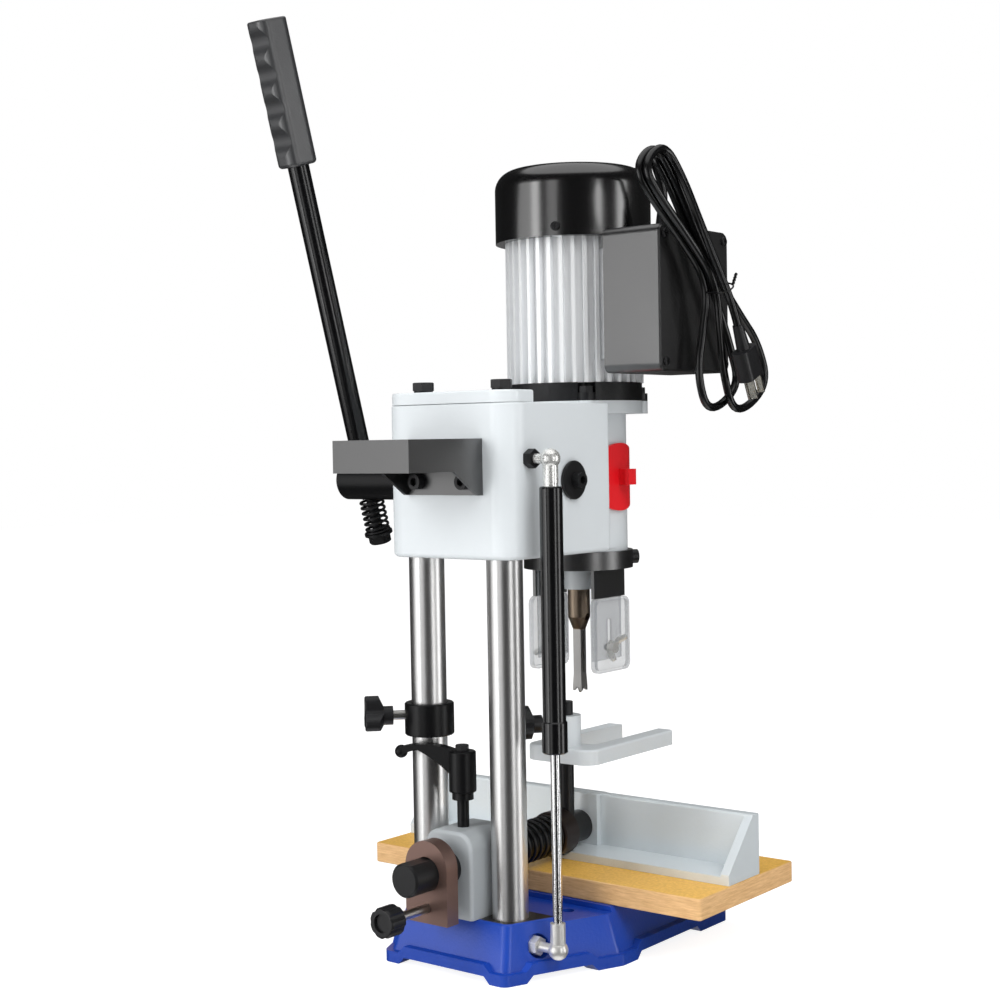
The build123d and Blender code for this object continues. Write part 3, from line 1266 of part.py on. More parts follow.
def box_lid():
    lid = box_shape((BOX_OUTER_X, BOX_SPLIT_X), 0)
    lid = chamfer(lid.faces().sort_by(Axis.X)[0].edges(), 1.5)
    lid -= box_shape((BOX_OUTER_X + BOX_WALL, BOX_SPLIT_X + 1), BOX_WALL)
    for y, z in lid_screw_places():
        post = bar(LID_POST_R, (BOX_OUTER_X + 1, y, z), (BOX_SPLIT_X, y, z))
        lid += post & box_shape((BOX_OUTER_X, BOX_SPLIT_X), 0.5)
        lid -= bar(COVER_SCREW_R + SLIDING, (BOX_OUTER_X - 1, y, z), (BOX_SPLIT_X + 1, y, z))
    return lid


def cover_screws():
    """The pan-head screws of the switch box's lid and of the fan cover."""
    screws = [
        pan_screw(Vector(BOX_OUTER_X, y, z), Vector(-1, 0, 0), BOX_SPLIT_X - BOX_OUTER_X + COVER_SCREW_BITE)
        for y, z in lid_screw_places()
    ]
    for out in fan_screw_directions():
        screws.append(pan_screw(fan_screw_point(out, FAN_COVER_R), out, FAN_SCREW_BITE))
    return screws


def pan_screw(seat, outward, length):
    """A cross-recessed pan-head screw whose head stands outward from its seat."""
    stand = Plane(origin=seat, z_dir=outward)
    head = Cylinder(COVER_SCREW_HEAD_R, COVER_SCREW_HEAD, align=BASE_ALIGN)
    head = fillet(head.edges().filter_by(GeomType.CIRCLE).sort_by(Axis.Z)[-1], COVER_SCREW_HEAD / 2)
    slot = Pos(0, 0, COVER_SCREW_HEAD) * Box(1.3 * COVER_SCREW_HEAD_R, COVER_SCREW_SLOT, COVER_SCREW_HEAD)
    head -= slot + Rot(0, 0, 90) * slot
    return stand * head + bar(COVER_SCREW_R, seat - outward * length, seat)


def switch_body():
    """The push-button switch in the box's front wall, with wells for its two buttons."""
    x, y, z = switch_middle()
    bezel = brick((x - SWITCH_HALF_X - 4, x + SWITCH_HALF_X + 4), (y - 3, y), (z - SWITCH_HALF_Z - 4, z + SWITCH_HALF_Z + 4))
    bezel = fillet(bezel.edges().filter_by(Axis.Y), 3)
    rear = y + SWITCH_DEPTH
    body = brick(
        (x - SWITCH_HALF_X + SLIDING, x + SWITCH_HALF_X - SLIDING),
        (y, rear),
        (z - SWITCH_HALF_Z + SLIDING, z + SWITCH_HALF_Z - SLIDING),
    )
    body += bezel
    for dz in (-11, 11):
        body -= bar(BUTTON_R + SLIDING, (x, y - 4, z + dz), (x, y + 9, z + dz))
    return body


def button(dz, stand):
    """A push button in its well, standing proud of the bezel."""
    x, y, z = switch_middle()
    rest = y + 9 - BUTTON_TRAVEL - 2 * SLIDING
    cap = bar(BUTTON_R, (x, y - 3 - stand, z + dz), (x, rest, z + dz))
    return fillet(cap.edges().filter_by(GeomType.CIRCLE).sort_by(Axis.Y)[0], 1)


def cord_gland():
    gland = (GLAND_X, GLAND_Y)
    nut = hexagon(11, GLAND_NUT, (*gland, BOX_TOP), (0, 0, 1))
    sleeve = taper(7.5, CORD_D / 2 + 1.2, (*gland, BOX_TOP + GLAND_NUT), (*gland, BOX_TOP + GLAND_LENGTH))
    stem = bar(GLAND_STEM_R, (*gland, BOX_TOP - BOX_WALL - 4), (*gland, BOX_TOP + 1))
    foot = BOX_TOP - BOX_WALL - 5
    return nut + sleeve + stem - bar(CORD_D / 2 + SEATED, (*gland, foot), (*gland, BOX_TOP + GLAND_LENGTH + 1))


def strut_stud(start, end, seat):
    """A ball stud's shank with its hexagon nut against a seat."""
    stud = bar(STUD_R, start, end)
    return stud + hexagon(STUD_HEX_R, STUD_HEX_THICK, seat, (-1, 0, 0))


def ball_socket(z, neck_end):
    """A strut's end socket: a ball with a neck, flat where its stud meets it."""
    ball = Pos(STRUT_X, STRUT_Y, z) * Sphere(BALL_SOCKET_R)
    ball += bar(BALL_NECK_R, (STRUT_X, STRUT_Y, z), (STRUT_X, STRUT_Y, neck_end))
    beyond = 3 * BALL_SOCKET_R
    side = (STRUT_Y - beyond, STRUT_Y + beyond)
    return ball - brick((socket_flat(), socket_flat() + beyond), side, (z - beyond, z + beyond))


def socket_flat():
    return STRUT_X + BALL_SOCKET_R - 2


def strut_upper_joint():
    line = (STRUT_Y, STRUT_TOP_BALL)
    stud = strut_stud((socket_flat(), *line), (-HEAD_HALF + 9, *line), (-HEAD_HALF, *line))
    return [ball_socket(STRUT_TOP_BALL, STRUT_TUBE_TOP), stud]


def strut_tube():
    foot = (STRUT_X, STRUT_Y, STRUT_TUBE_BOTTOM)
    top = (STRUT_X, STRUT_Y, STRUT_TUBE_TOP)
    tube = bar(STRUT_TUBE_R, foot, top)
    tube = fillet(tube.edges().filter_by(GeomType.CIRCLE).sort_by(Axis.Z)[-1], 2)
    sleeve = bar(STRUT_SLEEVE_R, foot, (STRUT_X, STRUT_Y, STRUT_TUBE_BOTTOM + STRUT_SLEEVE))
    tube += chamfer(sleeve.edges().filter_by(GeomType.CIRCLE), STRUT_SLEEVE_R - STRUT_TUBE_R)
    room_low = STRUT_TUBE_BOTTOM + STRUT_END_WALL
    room = bar(STRUT_BORE_R, (STRUT_X, STRUT_Y, room_low), (STRUT_X, STRUT_Y, STRUT_TUBE_TOP - 6))
    passage = bar(STRUT_ROD_R + RUNNING, foot, (STRUT_X, STRUT_Y, room_low + 1))
    return tube - room - passage


def strut_rod():
    """The strut's rod with its piston, and the lower socket on its stud."""
    piston_top = STRUT_TUBE_TOP - 6 - HEAD_STROKE - 4
    foot = STRUT_LOW_BALL + SOCKET_LENGTH
    rod = bar(STRUT_ROD_R, (STRUT_X, STRUT_Y, foot - 1), (STRUT_X, STRUT_Y, piston_top))
    rod += bar(STRUT_BORE_R - RUNNING, (STRUT_X, STRUT_Y, piston_top - 10), (STRUT_X, STRUT_Y, piston_top))
    rod += ball_socket(STRUT_LOW_BALL, foot)
    line = (STRUT_Y, STRUT_LOW_BALL)
    return [rod, strut_stud((socket_flat(), *line), (stud_root(), *line), (stud_seat(), *line))]


def rod_point(y):
    return (0, y, ROD_Z)


def rod_block():
    """The grey block between the columns that guides and clamps the fence rod."""
    block = brick(
        (-CLAMP_BLOCK_HALF, CLAMP_BLOCK_HALF),
        (CLAMP_BLOCK_FRONT, CLAMP_BLOCK_REAR),
        (BASE_HEIGHT, CLAMP_BLOCK_TOP),
    )
    block = fillet(block.edges().filter_by(Axis.Y).sort_by(Axis.Z)[-2:], CLAMP_BLOCK_CORNER)
    block = fillet(block.faces().sort_by(Axis.Y)[-1].edges().sort_by(Axis.Z)[1:], CLAMP_BLOCK_EDGE)
    block -= bar(ROD_R + RUNNING, rod_point(CLAMP_BLOCK_FRONT - 1), rod_point(CLAMP_BLOCK_REAR + 1))
    top = (0, CLAMP_SCREW_Y, CLAMP_BLOCK_TOP + 1)
    return block - bar(CLAMP_SCREW_R + RUNNING, (0, CLAMP_SCREW_Y, ROD_Z), top)


def fence_rod():
    """The round fence rod with the flat that its clamp screw bears on."""
    front = FENCE_FACE + FENCE_WALL + FENCE_PAD
    rod = bar(ROD_R, rod_point(front), rod_point(ROD_REAR))
    rod = chamfer(rod.edges().filter_by(GeomType.CIRCLE).sort_by(Axis.Y)[-1], 1.6)
    flat = (CLAMP_BLOCK_FRONT - FENCE_TRAVEL - 20, ROD_REAR + 1)
    rod -= brick((-ROD_R, ROD_R), flat, (ROD_Z + ROD_R - ROD_FLAT, ROD_Z + ROD_R + 1))
    return rod - bar(POST_R + SEATED, (0, POST_Y, ROD_Z + ROD_R - POST_SEAT), (0, POST_Y, ROD_Z + ROD_R + 1))


def fence():
    """The L-shaped fence: floor, upright, end gussets and the pad that holds its rod."""
    half = FENCE_LENGTH / 2
    low = TABLE_TOP + SLIDING / 2
    high = TABLE_TOP + FENCE_HEIGHT
    inner = FENCE_FACE + FENCE_WALL
    body = brick((-half, half), (FENCE_FACE, FENCE_REAR), (low, TABLE_TOP + FENCE_FLOOR))
    upright = brick((-half, half), (FENCE_FACE, inner), (low, high))
    body += fillet(upright.edges().filter_by(Axis.X).sort_by(Axis.Z)[-2:], FENCE_EDGE)
    body += brick((-FENCE_PAD_HALF, FENCE_PAD_HALF), (FENCE_FACE, inner + FENCE_PAD), (low, high))
    crown = high - FENCE_EDGE
    toe = low + FENCE_FLOOR + FENCE_EDGE
    profile = Polyline((inner, low), (FENCE_REAR, low), (FENCE_REAR, toe), (inner, crown), close=True)
    gusset = extrude(Plane.YZ * make_face(profile), FENCE_GUSSET)
    body += Pos(-half, 0, 0) * gusset
    body += Pos(half - FENCE_GUSSET, 0, 0) * gusset
    relief_end = ROD_COLLAR_REAR - ROD_COLLAR_WIDTH - 1
    return body - bar(ROD_COLLAR_R + 1, rod_point(FENCE_REAR + 1), rod_point(relief_end))


def hold_down_post():
    return bar(POST_R, (0, POST_Y, ROD_Z + ROD_R - POST_SEAT), (0, POST_Y, POST_TOP))


def rod_collar():
    front = ROD_COLLAR_REAR - ROD_COLLAR_WIDTH
    ring = bar(ROD_COLLAR_R, rod_point(front), rod_point(ROD_COLLAR_REAR))
    ring = chamfer(ring.edges().filter_by(GeomType.CIRCLE), 1.2)
    return ring - bar(ROD_R + SEATED, rod_point(front - 1), rod_point(ROD_COLLAR_REAR + 1))


def fence_spring():
    length = CLAMP_BLOCK_FRONT - ROD_COLLAR_REAR - 2 * SLIDING
    spring = coil_spring("fence_spring", FENCE_SPRING_WIRE, FENCE_SPRING_R, length, FENCE_SPRING_TURNS)
    return Plane(origin=rod_point(ROD_COLLAR_REAR + SLIDING), x_dir=(1, 0, 0), z_dir=(0, 1, 0)) * spring


def adjust_plate():
    """The brown plate on the rod that carries the fine adjusting screw."""
    rear = PLATE_FRONT + PLATE_THICK
    crown = ROD_Z + PLATE_RISE
    plate = brick((-PLATE_HALF, PLATE_HALF), (PLATE_FRONT, rear), (PLATE_BOTTOM, crown))
    plate += bar(PLATE_HALF, (0, PLATE_FRONT, crown), (0, rear, crown))
    plate -= bar(ROD_R + SEATED, rod_point(PLATE_FRONT - 1), rod_point(rear + 1))
    return plate - bar(ADJUST_R + RUNNING, (0, PLATE_FRONT - 1, ADJUST_Z), (0, rear + 1, ADJUST_Z))


def adjust_knob():
    """The adjusting screw, its tip on the clamp block, with a fluted knob."""
    start = (0, ADJUST_KNOB_START, ADJUST_Z)
    end = (0, ADJUST_KNOB_START + ADJUST_KNOB_LENGTH, ADJUST_Z)
    screw = bar(ADJUST_R, (0, CLAMP_BLOCK_REAR + SLIDING, ADJUST_Z), (0, ADJUST_KNOB_START + 1, ADJUST_Z))
    knob = bar(ADJUST_KNOB_R, start, end)
    knob = fillet(knob.edges().filter_by(GeomType.CIRCLE), 2)
    for i in range(7):
        angle = 2 * pi * i / 7
        x = (ADJUST_KNOB_R + 3) * cos(angle)
        z = ADJUST_Z + (ADJUST_KNOB_R + 3) * sin(angle)
        knob -= bar(4.6, (x, start[1] - 1, z), (x, end[1] + 1, z))
    knob -= bar(ADJUST_DISH_R, (0, end[1] - ADJUST_DISH, ADJUST_Z), (0, end[1] + 1, ADJUST_Z))
    return screw + knob


def clamp_handle():
    """The rod clamp: a screw with an indexing handle on top, whose arm sweeps up to a round end."""

    def on_screw(z):
        return (0, CLAMP_SCREW_Y, z)

    tip = ROD_Z + ROD_R - ROD_FLAT + SLIDING
    high = CLAMP_HUB_TOP
    screw = bar(CLAMP_SCREW_R, on_screw(tip), on_screw(high + 1))
    screw += hex_head(CLAMP_HEAD_R, CLAMP_HEAD, on_screw(high), (0, 0, 1))
    hub = bar(CLAMP_HUB_R, on_screw(CLAMP_HUB_BOTTOM + CLAMP_COLLAR), on_screw(high))
    hub = fillet(hub.edges().filter_by(GeomType.CIRCLE), 1.5)
    hub += bar(CLAMP_COLLAR_R, on_screw(CLAMP_HUB_BOTTOM), on_screw(high - CLAMP_COLLAR))
    reach = CLAMP_ARM_LENGTH
    root = high - CLAMP_ARM_ROOT
    thin = (0.7 * reach, high)
    under = high - CLAMP_ARM_END_R
    crest = ThreePointArc((0, high - 2), (reach / 2, high + CLAMP_ARM_RISE), (reach, high + 2))
    throat = ThreePointArc((reach, under), (0.85 * reach, high - 1.5), thin)
    belly = ThreePointArc(thin, (0.43 * reach, high - CLAMP_ARM_BELLY), (0.1 * reach, root))
    ends = [Line((reach, high + 2), (reach, under)), Polyline((0.1 * reach, root), (0, root), (0, high - 2))]
    blade = extrude(Plane.XZ * make_face([crest, throat, belly] + ends), CLAMP_ARM_HALF, both=True)
    end_round = Pos(reach, 0, high - 2) * Sphere(CLAMP_ARM_END_R)
    arm = Pos(0, CLAMP_SCREW_Y, 0) * Rot(0, 0, CLAMP_ARM_ANGLE) * (blade + end_round)
    return screw + hub + arm


def hold_down_fork():
    """The two-pronged hold-down with the boss that slides on its post."""
    low = FORK_TOP - FORK_THICK
    fork = brick((-FORK_HALF, FORK_HALF), (FORK_FRONT, FORK_REAR), (low, FORK_TOP))
    rear = fork.edges().filter_by(Axis.Z).sort_by(Axis.Y)
    fork = fillet(rear[-2:], FORK_REAR_CORNER)
    fork = fillet(fork.edges().filter_by(Axis.Z).sort_by(Axis.Y)[:2], FORK_TIP_CORNER)
    fork = fillet(fork.faces().sort_by(Axis.Z)[-1].edges(), FORK_EDGE)
    gap = brick((-FORK_GAP_HALF, FORK_GAP_HALF), (FORK_FRONT - 1, FORK_SLOT_REAR), (low - 1, FORK_TOP + 1))
    gap = fillet(gap.edges().filter_by(Axis.Z).sort_by(Axis.Y)[-2:], FORK_ROOT_CORNER)
    fork -= gap
    fork += bar(FORK_BOSS_R, (0, POST_Y, low), (0, POST_Y, FORK_BOSS_TOP))
    fork -= bar(POST_R + RUNNING, (0, POST_Y, low - 1), (0, POST_Y, FORK_BOSS_TOP + 1))
    centre = Vector(0, POST_Y, hold_knob_z())
    return fork - bar(KNOB_SCREW_R + RUNNING, centre, centre + hold_knob_direction() * (FORK_BOSS_R + 2))


def hold_knob_z():
    return FORK_BOSS_TOP - HOLD_KNOB_DROP


def hold_knob_direction():
    angle = radians(HOLD_KNOB_ANGLE)
    return Vector(cos(angle), sin(angle), 0)


def lobed_knob(centre, direction, start, standoff):
    """A three-lobed knob on a screw that points at a centre."""
    screw = bar(KNOB_SCREW_R, centre + direction * start, centre + direction * (standoff + 2))
    hub = bar(KNOB_HUB_R, centre + direction * standoff, centre + direction * (standoff + KNOB_LENGTH))
    profile = Circle(KNOB_HUB_R)
    lobe_at = KNOB_R - KNOB_LOBE_R
    for i in range(3):
        web = Pos(lobe_at / 2, 0) * Rectangle(lobe_at, 2 * KNOB_LOBE_R)
        profile += Rot(0, 0, 120 * i) * (web + Pos(lobe_at, 0) * Circle(KNOB_LOBE_R))
    lobes = extrude(profile, KNOB_LOBE_DEPTH)
    lobes = fillet(lobes.edges().filter_by(Axis.Z).sort_by_distance((0, 0, 0))[:6], KNOB_WAIST)
    lobes = fillet(lobes.faces().sort_by(Axis.Z)[-1].edges(), KNOB_EDGE)
    outer = KNOB_R + KNOB_EDGE
    lobes &= Cone(KNOB_HUB_R, outer, KNOB_SLANT, align=BASE_ALIGN) + Pos(0, 0, KNOB_SLANT) * Cylinder(
        outer, KNOB_LOBE_DEPTH, align=BASE_ALIGN
    )
    foot = centre + direction * (standoff + KNOB_LENGTH - KNOB_LOBE_DEPTH)
    return screw + hub + Plane(origin=foot, x_dir=(0, 0, 1), z_dir=direction) * lobes


def hold_down_knob():
    centre = Vector(0, POST_Y, hold_knob_z())
    return lobed_knob(centre, hold_knob_direction(), POST_R + SLIDING, HOLD_KNOB_STANDOFF)


def depth_stop_collar():
    x = COLUMN_HALF_SPACING
    high = STOP_BOTTOM + STOP_HEIGHT
    ring = bar(STOP_R, (x, 0, STOP_BOTTOM), (x, 0, high))
    ring = chamfer(ring.edges().filter_by(GeomType.CIRCLE), 1)
    ring -= bar(COLUMN_R + RUNNING, (x, 0, STOP_BOTTOM - 1), (x, 0, high + 1))
    centre = stop_knob_centre()
    return ring - bar(KNOB_SCREW_R + RUNNING, centre, centre + stop_knob_direction() * (STOP_R + 2))


def stop_knob_centre():
    return Vector(COLUMN_HALF_SPACING, 0, STOP_BOTTOM + 0.62 * STOP_HEIGHT)


def stop_knob_direction():
    angle = radians(KNOB_ANGLE)
    return Vector(cos(angle), sin(angle), 0)


def depth_stop_knob():
    return lobed_knob(stop_knob_centre(), stop_knob_direction(), COLUMN_R + SLIDING, KNOB_STANDOFF)


def hank_rise(up):
    """The direction up the hank's runs: above its waist they also lean in over the box."""
    lean = radians(HANK_TOP_LEAN if up > 0 else HANK_LOW_LEAN)
    tilt = radians(HANK_TILT if up > 0 else 0)
    return Vector(sin(tilt), cos(tilt) * sin(lean), cos(tilt) * cos(lean))


def hank_point(layer, across, up):
    waist = Vector(HANK_X - HANK_STEP * layer, HANK_WAIST_Y, HANK_WAIST_Z)
    rise = hank_rise(up)
    side = rise.cross(Vector(-1, 0, 0)).normalized()
    return waist + rise * up - side * across


def hank_heading(up):
    """The runs' direction at a height: halfway between the two leans at the waist."""
    return (hank_rise(up) + hank_rise(up + 1)).normalized()


def lead_points():
    """The lead's route: up out of the gland, then leaning back to the hank's first fold."""
    start = Vector(GLAND_X, GLAND_Y, BOX_TOP + GLAND_LENGTH - GLAND_GRIP)
    bend = start + Vector(0, 0, LEAD_RISE)
    return [start, bend, bend + lead_heading() * LEAD_RUN]


def lead_heading():
    lean = radians(LEAD_LEAN)
    return Vector(0, sin(lean), cos(lean))


def hank_path():
    """The cord's hank: over the top, down through the waist, round the foot and up again."""
    points = [lead_points()[-1]]
    tangents = [lead_heading()]

    def through(layer, across, up, heading):
        points.append(hank_point(layer, across, up))
        tangents.append(hank_heading(up) * heading)

    for turn, low_run in enumerate(HANK_LOW_RUNS):
        through(turn, -HANK_TOP_R, HANK_TOP_RUN, -1)
        through(turn, -HANK_WAIST_R, 0, -1)
        foot = HANK_FAN * (0.5 - turn)
        through(turn, foot - HANK_LOW_R, -low_run, -1)
        through(turn, foot + HANK_LOW_R, -low_run, 1)
        through(turn + 0.5, HANK_WAIST_R, 0, 1)
        through(turn + 1, HANK_TOP_R, HANK_TOP_RUN, 1)
    through(HANK_TURNS, -HANK_TOP_R, HANK_TOP_RUN, -1)
    through(HANK_TURNS + PLUG_LAYERS, PLUG_ACROSS, 0, -1)
    through(HANK_TURNS + PLUG_LAYERS, PLUG_ACROSS, -PLUG_DROP, -1)
    return arcs_through(points, tangents)


def plug_top():
    return hank_point(HANK_TURNS + PLUG_LAYERS, PLUG_ACROSS, -PLUG_DROP)


def cord_hank():
    path = hank_path()
    tube = tube_on(path, CORD_D / 2)
    report_tube("cord_hank", path, tube, CORD_D, CORD_D / 2, 6)
    return tube


def power_cord():
    """The free lead from the gland to the hank's first fold."""
    start, bend, end = lead_points()
    runs = [bend - start, end - bend]
    turn = radians(runs[0].get_angle(runs[1]))
    radius = 0.45 * min(runs[0].length, runs[1].length) / tan(turn / 2)
    path = FilletPolyline(start, bend, end, radius=radius).wire()
    tube = tube_on(path, CORD_D / 2)
    ratio = tube.volume / (path.length * pi * CORD_D**2 / 4)
    print(f"power_cord: length {path.length:.1f}, volume ratio {ratio:.4f}, radius {radius:.0f}")
    return tube


def plug():
    """The plug at the cord's end, hanging in line with the last run."""
    stand = Plane(origin=plug_top(), x_dir=(1, 0, 0), z_dir=-hank_rise(-PLUG_DROP))
    relief = Cone(CORD_D / 2 + 1, PLUG_NECK_R, PLUG_NECK, align=BASE_ALIGN)
    body = Pos(0, 0, PLUG_NECK) * extrude(RectangleRounded(PLUG_THICK, PLUG_WIDTH, PLUG_CORNER), PLUG_BODY)
    pins = []
    pin_foot = PLUG_NECK + PLUG_BODY
    for across in (-PIN_HALF_SPACING, PIN_HALF_SPACING):
        pin = extrude(Rectangle(PIN_WIDTH, PIN_THICK), PIN_LENGTH)
        pins.append(stand * Pos(-PIN_OFFSET, across, pin_foot) * pin)
    earth = Cylinder(EARTH_PIN_R, EARTH_PIN_LENGTH, align=BASE_ALIGN)
    pins.append(stand * Pos(EARTH_PIN_OFFSET, 0, pin_foot) * earth)
    return [stand * (relief + body)] + pins


SINGLE_PIECES = (
    base_casting, table_board, right_column, left_column, top_plate, rod_block, head_casting, access_cover,
    pinion_shaft, lever_hub, lever_tube, lever_grip, lever_end_bolt, lever_spring, tool_shelf, motor_flange,
    motor_housing, rotor, cooling_fan, fan_cover, drill_chuck, auger_bit, chisel, guard_bracket,
    switch_box, box_lid, switch_body, cord_gland, strut_tube, fence_rod, fence,
    hold_down_post, rod_collar, fence_spring, adjust_plate, adjust_knob, clamp_handle, hold_down_fork,
    hold_down_knob, depth_stop_collar, depth_stop_knob, cord_hank, power_cord,
)

GROUPED_PIECES = (
    table_screws, column_bolts, shaft_end_washer, head_socket_screws, motor_bolts, stator_and_bearings,
    guard_panels, cover_screws, strut_upper_joint, strut_rod, plug,
)


def pieces():
    """Every sub-part by its name, as the list of its solids."""
    made = {piece.__name__: [piece()] for piece in SINGLE_PIECES}
    made.update({piece.__name__: piece() for piece in GROUPED_PIECES})
    made["guard_tray_left"] = [guard_tray(-1)]
    made["guard_tray_right"] = [guard_tray(1)]
    made["wing_screw_left"] = [wing_screw(-1)]
    made["wing_screw_right"] = [wing_screw(1)]
    made["start_button"] = [button(11, 0.8)]
    made["stop_button"] = [button(-11, 3.5)]
    return made


def main():
    os.makedirs("parts", exist_ok=True)
    to_frame = Pos(0, -BENCH_HOLE_Y, 0)
    for name, shapes in pieces().items():
        solids = [to_frame * solid for shape in shapes for solid in shape.solids()]
        export_step(Compound(children=solids) if len(solids) > 1 else solids[0], f"parts/{name}.step")


if __name__ == "__main__":
    main()
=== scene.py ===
import math

import bpy
from mathutils import Matrix, Vector


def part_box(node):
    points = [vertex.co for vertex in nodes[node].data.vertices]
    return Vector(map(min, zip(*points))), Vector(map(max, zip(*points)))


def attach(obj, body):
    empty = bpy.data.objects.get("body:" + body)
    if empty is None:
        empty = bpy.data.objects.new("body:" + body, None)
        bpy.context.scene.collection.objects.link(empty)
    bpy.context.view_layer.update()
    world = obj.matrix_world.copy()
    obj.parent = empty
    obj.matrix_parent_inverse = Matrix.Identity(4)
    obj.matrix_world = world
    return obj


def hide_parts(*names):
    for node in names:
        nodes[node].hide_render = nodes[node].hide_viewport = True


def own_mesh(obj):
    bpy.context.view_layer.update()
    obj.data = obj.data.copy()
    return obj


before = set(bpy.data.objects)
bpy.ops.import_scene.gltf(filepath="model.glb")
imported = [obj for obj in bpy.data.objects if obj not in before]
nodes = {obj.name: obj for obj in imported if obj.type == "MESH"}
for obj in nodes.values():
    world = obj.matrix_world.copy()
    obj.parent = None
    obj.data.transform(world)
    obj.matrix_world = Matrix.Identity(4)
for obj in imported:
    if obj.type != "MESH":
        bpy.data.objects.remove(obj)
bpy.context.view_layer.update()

# Lengths are the part's own millimetres unless a comment says otherwise
MILLI = 1000
UP = Vector((0, 0, 1))
WHITE = (1, 1, 1, 1)

# The columns' place in the shared frame, which the part's own millimetres start from
COLUMN_Y = MILLI * sum(corner.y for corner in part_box("left_column")) / 2

# Camera: yaw, pitch and roll in degrees, far clip in metres
CAMERA_PLACE = (-904.56, 1098.21, 437.36)
CAMERA_YAW = 38.2606
CAMERA_PITCH = 1.9671
CAMERA_ROLL = 0.9954
CAMERA_LENS = 61.55
CAMERA_SENSOR = 36.0
CAMERA_FAR = 50.0

# Bent curves: spline order, steps between points, roundness of the section, smoothing angle in degrees
CURVE_ORDER = 3
CORD_STEPS = 8
CORD_ROUND = 5
WIRE_STEPS = 3
WIRE_ROUND = 3
WIRE_SMOOTH_ANGLE = 50.0

# Cord lead: up out of the gland, then over to the hank, its lean in degrees
CORD_D = 7.0
LEAD_XY = (-97.0, -162.0)
LEAD_HEIGHTS = (625.0, 641.0, 653.0)
LEAD_LEAN = 34.0
LEAD_RUN = 30.0
LEAD_FOLD = 12.0

# Cord hank: its waist, the lean of its upper and lower loops in degrees, their runs and radii
HANK_X = -142.0
HANK_WAIST_Y = -157.0
HANK_WAIST_Z = 572.0
HANK_WAIST_R = 4.6
HANK_STEP = 7.8
HANK_TILT = 10.0
HANK_TOP_LEAN = 36.0
HANK_TOP_RUN = 104.0
HANK_TOP_R = 19.5
HANK_LOW_LEAN = 25.5
HANK_LOW_RUNS = (82.0, 97.0)
HANK_LOW_RADII = (30.0, 33.0)
HANK_LOW_DEPTH = 23.0
HANK_FEET = (20.0, -10.0)

# Where a loop's control points lie, as shares of its run, radius and foot, and of a layer on the way up
TOP_EASE = 0.86
TOP_MIDDLE = 0.5
TOP_NARROW = 0.62
LOW_EASE = 0.8
LOW_MIDDLE = 0.45
LOW_NARROW = 0.6
FOOT_MIDDLE = 0.5
RISING_LAYERS = (0.2, 0.5, 0.8)
OVER_WAIST = 0.1

# The cord's run to the plug
PLUG_LAYERS = 1.55
PLUG_ACROSS = 14.0
PLUG_DROP = 38.0
PLUG_MIDDLE = 0.5
PLUG_NARROW = 0.1
PLUG_TUCK = 3.0
PLUG_EASE = 0.6
PIN_FOOT = 48.0
PIN_SEAM = 0.2

# Wire tie: how far it draws in the plug's strand, its place and half sizes, its twisted ends
TIE_WIRE = 1.5
TIE_DRAW = 0.6
TIE_LAYER = 1.45
TIE_ACROSS = 4.0
TIE_DROP = 7.0
TIE_DEEP = 16.6
TIE_WIDE = 11.5
TIE_SKEW = 6.0
TIE_SQUARENESS = 0.8
TIE_STEPS = 20
TIE_CORNER = math.pi / 4
TIE_TAIL = 10.0
TIE_TAIL_LEAN = 0.35
TIE_TAIL_TURNS = 2
TIE_TAIL_STEPS = 16
TIE_TWIST = 0.6

# Springs: wire, coil radius, free length and open turns, the lever's tilt in degrees
LEVER_PIVOT = (164.0, -60.0, 404.0)
LEVER_TILT = 16.2
LEVER_SPRING = {"wire": 2.6, "radius": 10.4, "length": 31.4, "turns": 5}
LEVER_SPRING_FOOT = 49.7
FENCE_ROD_Z = 87.0
FENCE_SPRING = {"wire": 3.2, "radius": 16.6, "turns": 10}
SPRING_STEPS = 16
CLOSED_PITCH = 1.04

# Noise in the finishes: scale per metre, detail, and how far tone and roughness swing
DRIFT_SCALE = 11
DRIFT_DETAIL = 4
DRIFT_ROUGHNESS = 0.12
PEEL_DETAIL = 3
LINES_DETAIL = 3
LINES_TONE = (0.16, 0.92)
LINES_ROUGHNESS = 0.1

# Depth of relief, metres
SKIN_RELIEF = 0.0004
LINES_RELIEF = 0.0002
JOINED_RELIEF = 0.0003
FIBRE_RELIEF = 0.0005

COAT_ROUGHNESS = 0.08

# A mix node's sockets by kind: first value, second value, result
MIX_SOCKETS = {"FLOAT": (2, 3, 0), "RGBA": (6, 7, 2)}

# Where one piece has two finishes: the skin's drift and grain, the metal's lines, the bump, then the finishes
JOINED_DRIFT = 0.1
JOINED_GRAIN = 400.0
JOINED_DRAW = (900, 900, 900)
JOINED_BUMP = 0.2
ZINC = {"color": (0.66, 0.65, 0.62), "roughness": 0.28, "metallic": 1.0}
CHROME = {"color": (0.84, 0.84, 0.82), "roughness": 0.22, "metallic": 0.75}
PIN_METAL = {"color": (0.72, 0.68, 0.6), "roughness": 0.2, "metallic": 1.0}
BLACK_MOULDING = {"color": (0.009, 0.009, 0.01), "roughness": 0.38, "metallic": 0.0}
BLACK_NUT = {"color": (0.02, 0.02, 0.021), "roughness": 0.34, "metallic": 0.6}
BRONZE_SHANK = {"color": (0.34, 0.265, 0.2), "roughness": 0.38, "metallic": 1.0}
NICKEL = {"color": (0.84, 0.83, 0.8), "roughness": 0.32, "metallic": 0.75}
POLISHED_ROD = {"color": (0.76, 0.76, 0.77), "roughness": 0.2, "metallic": 1.0}
CUT_STEEL = {"color": (0.42, 0.41, 0.4), "roughness": 0.36, "metallic": 1.0}
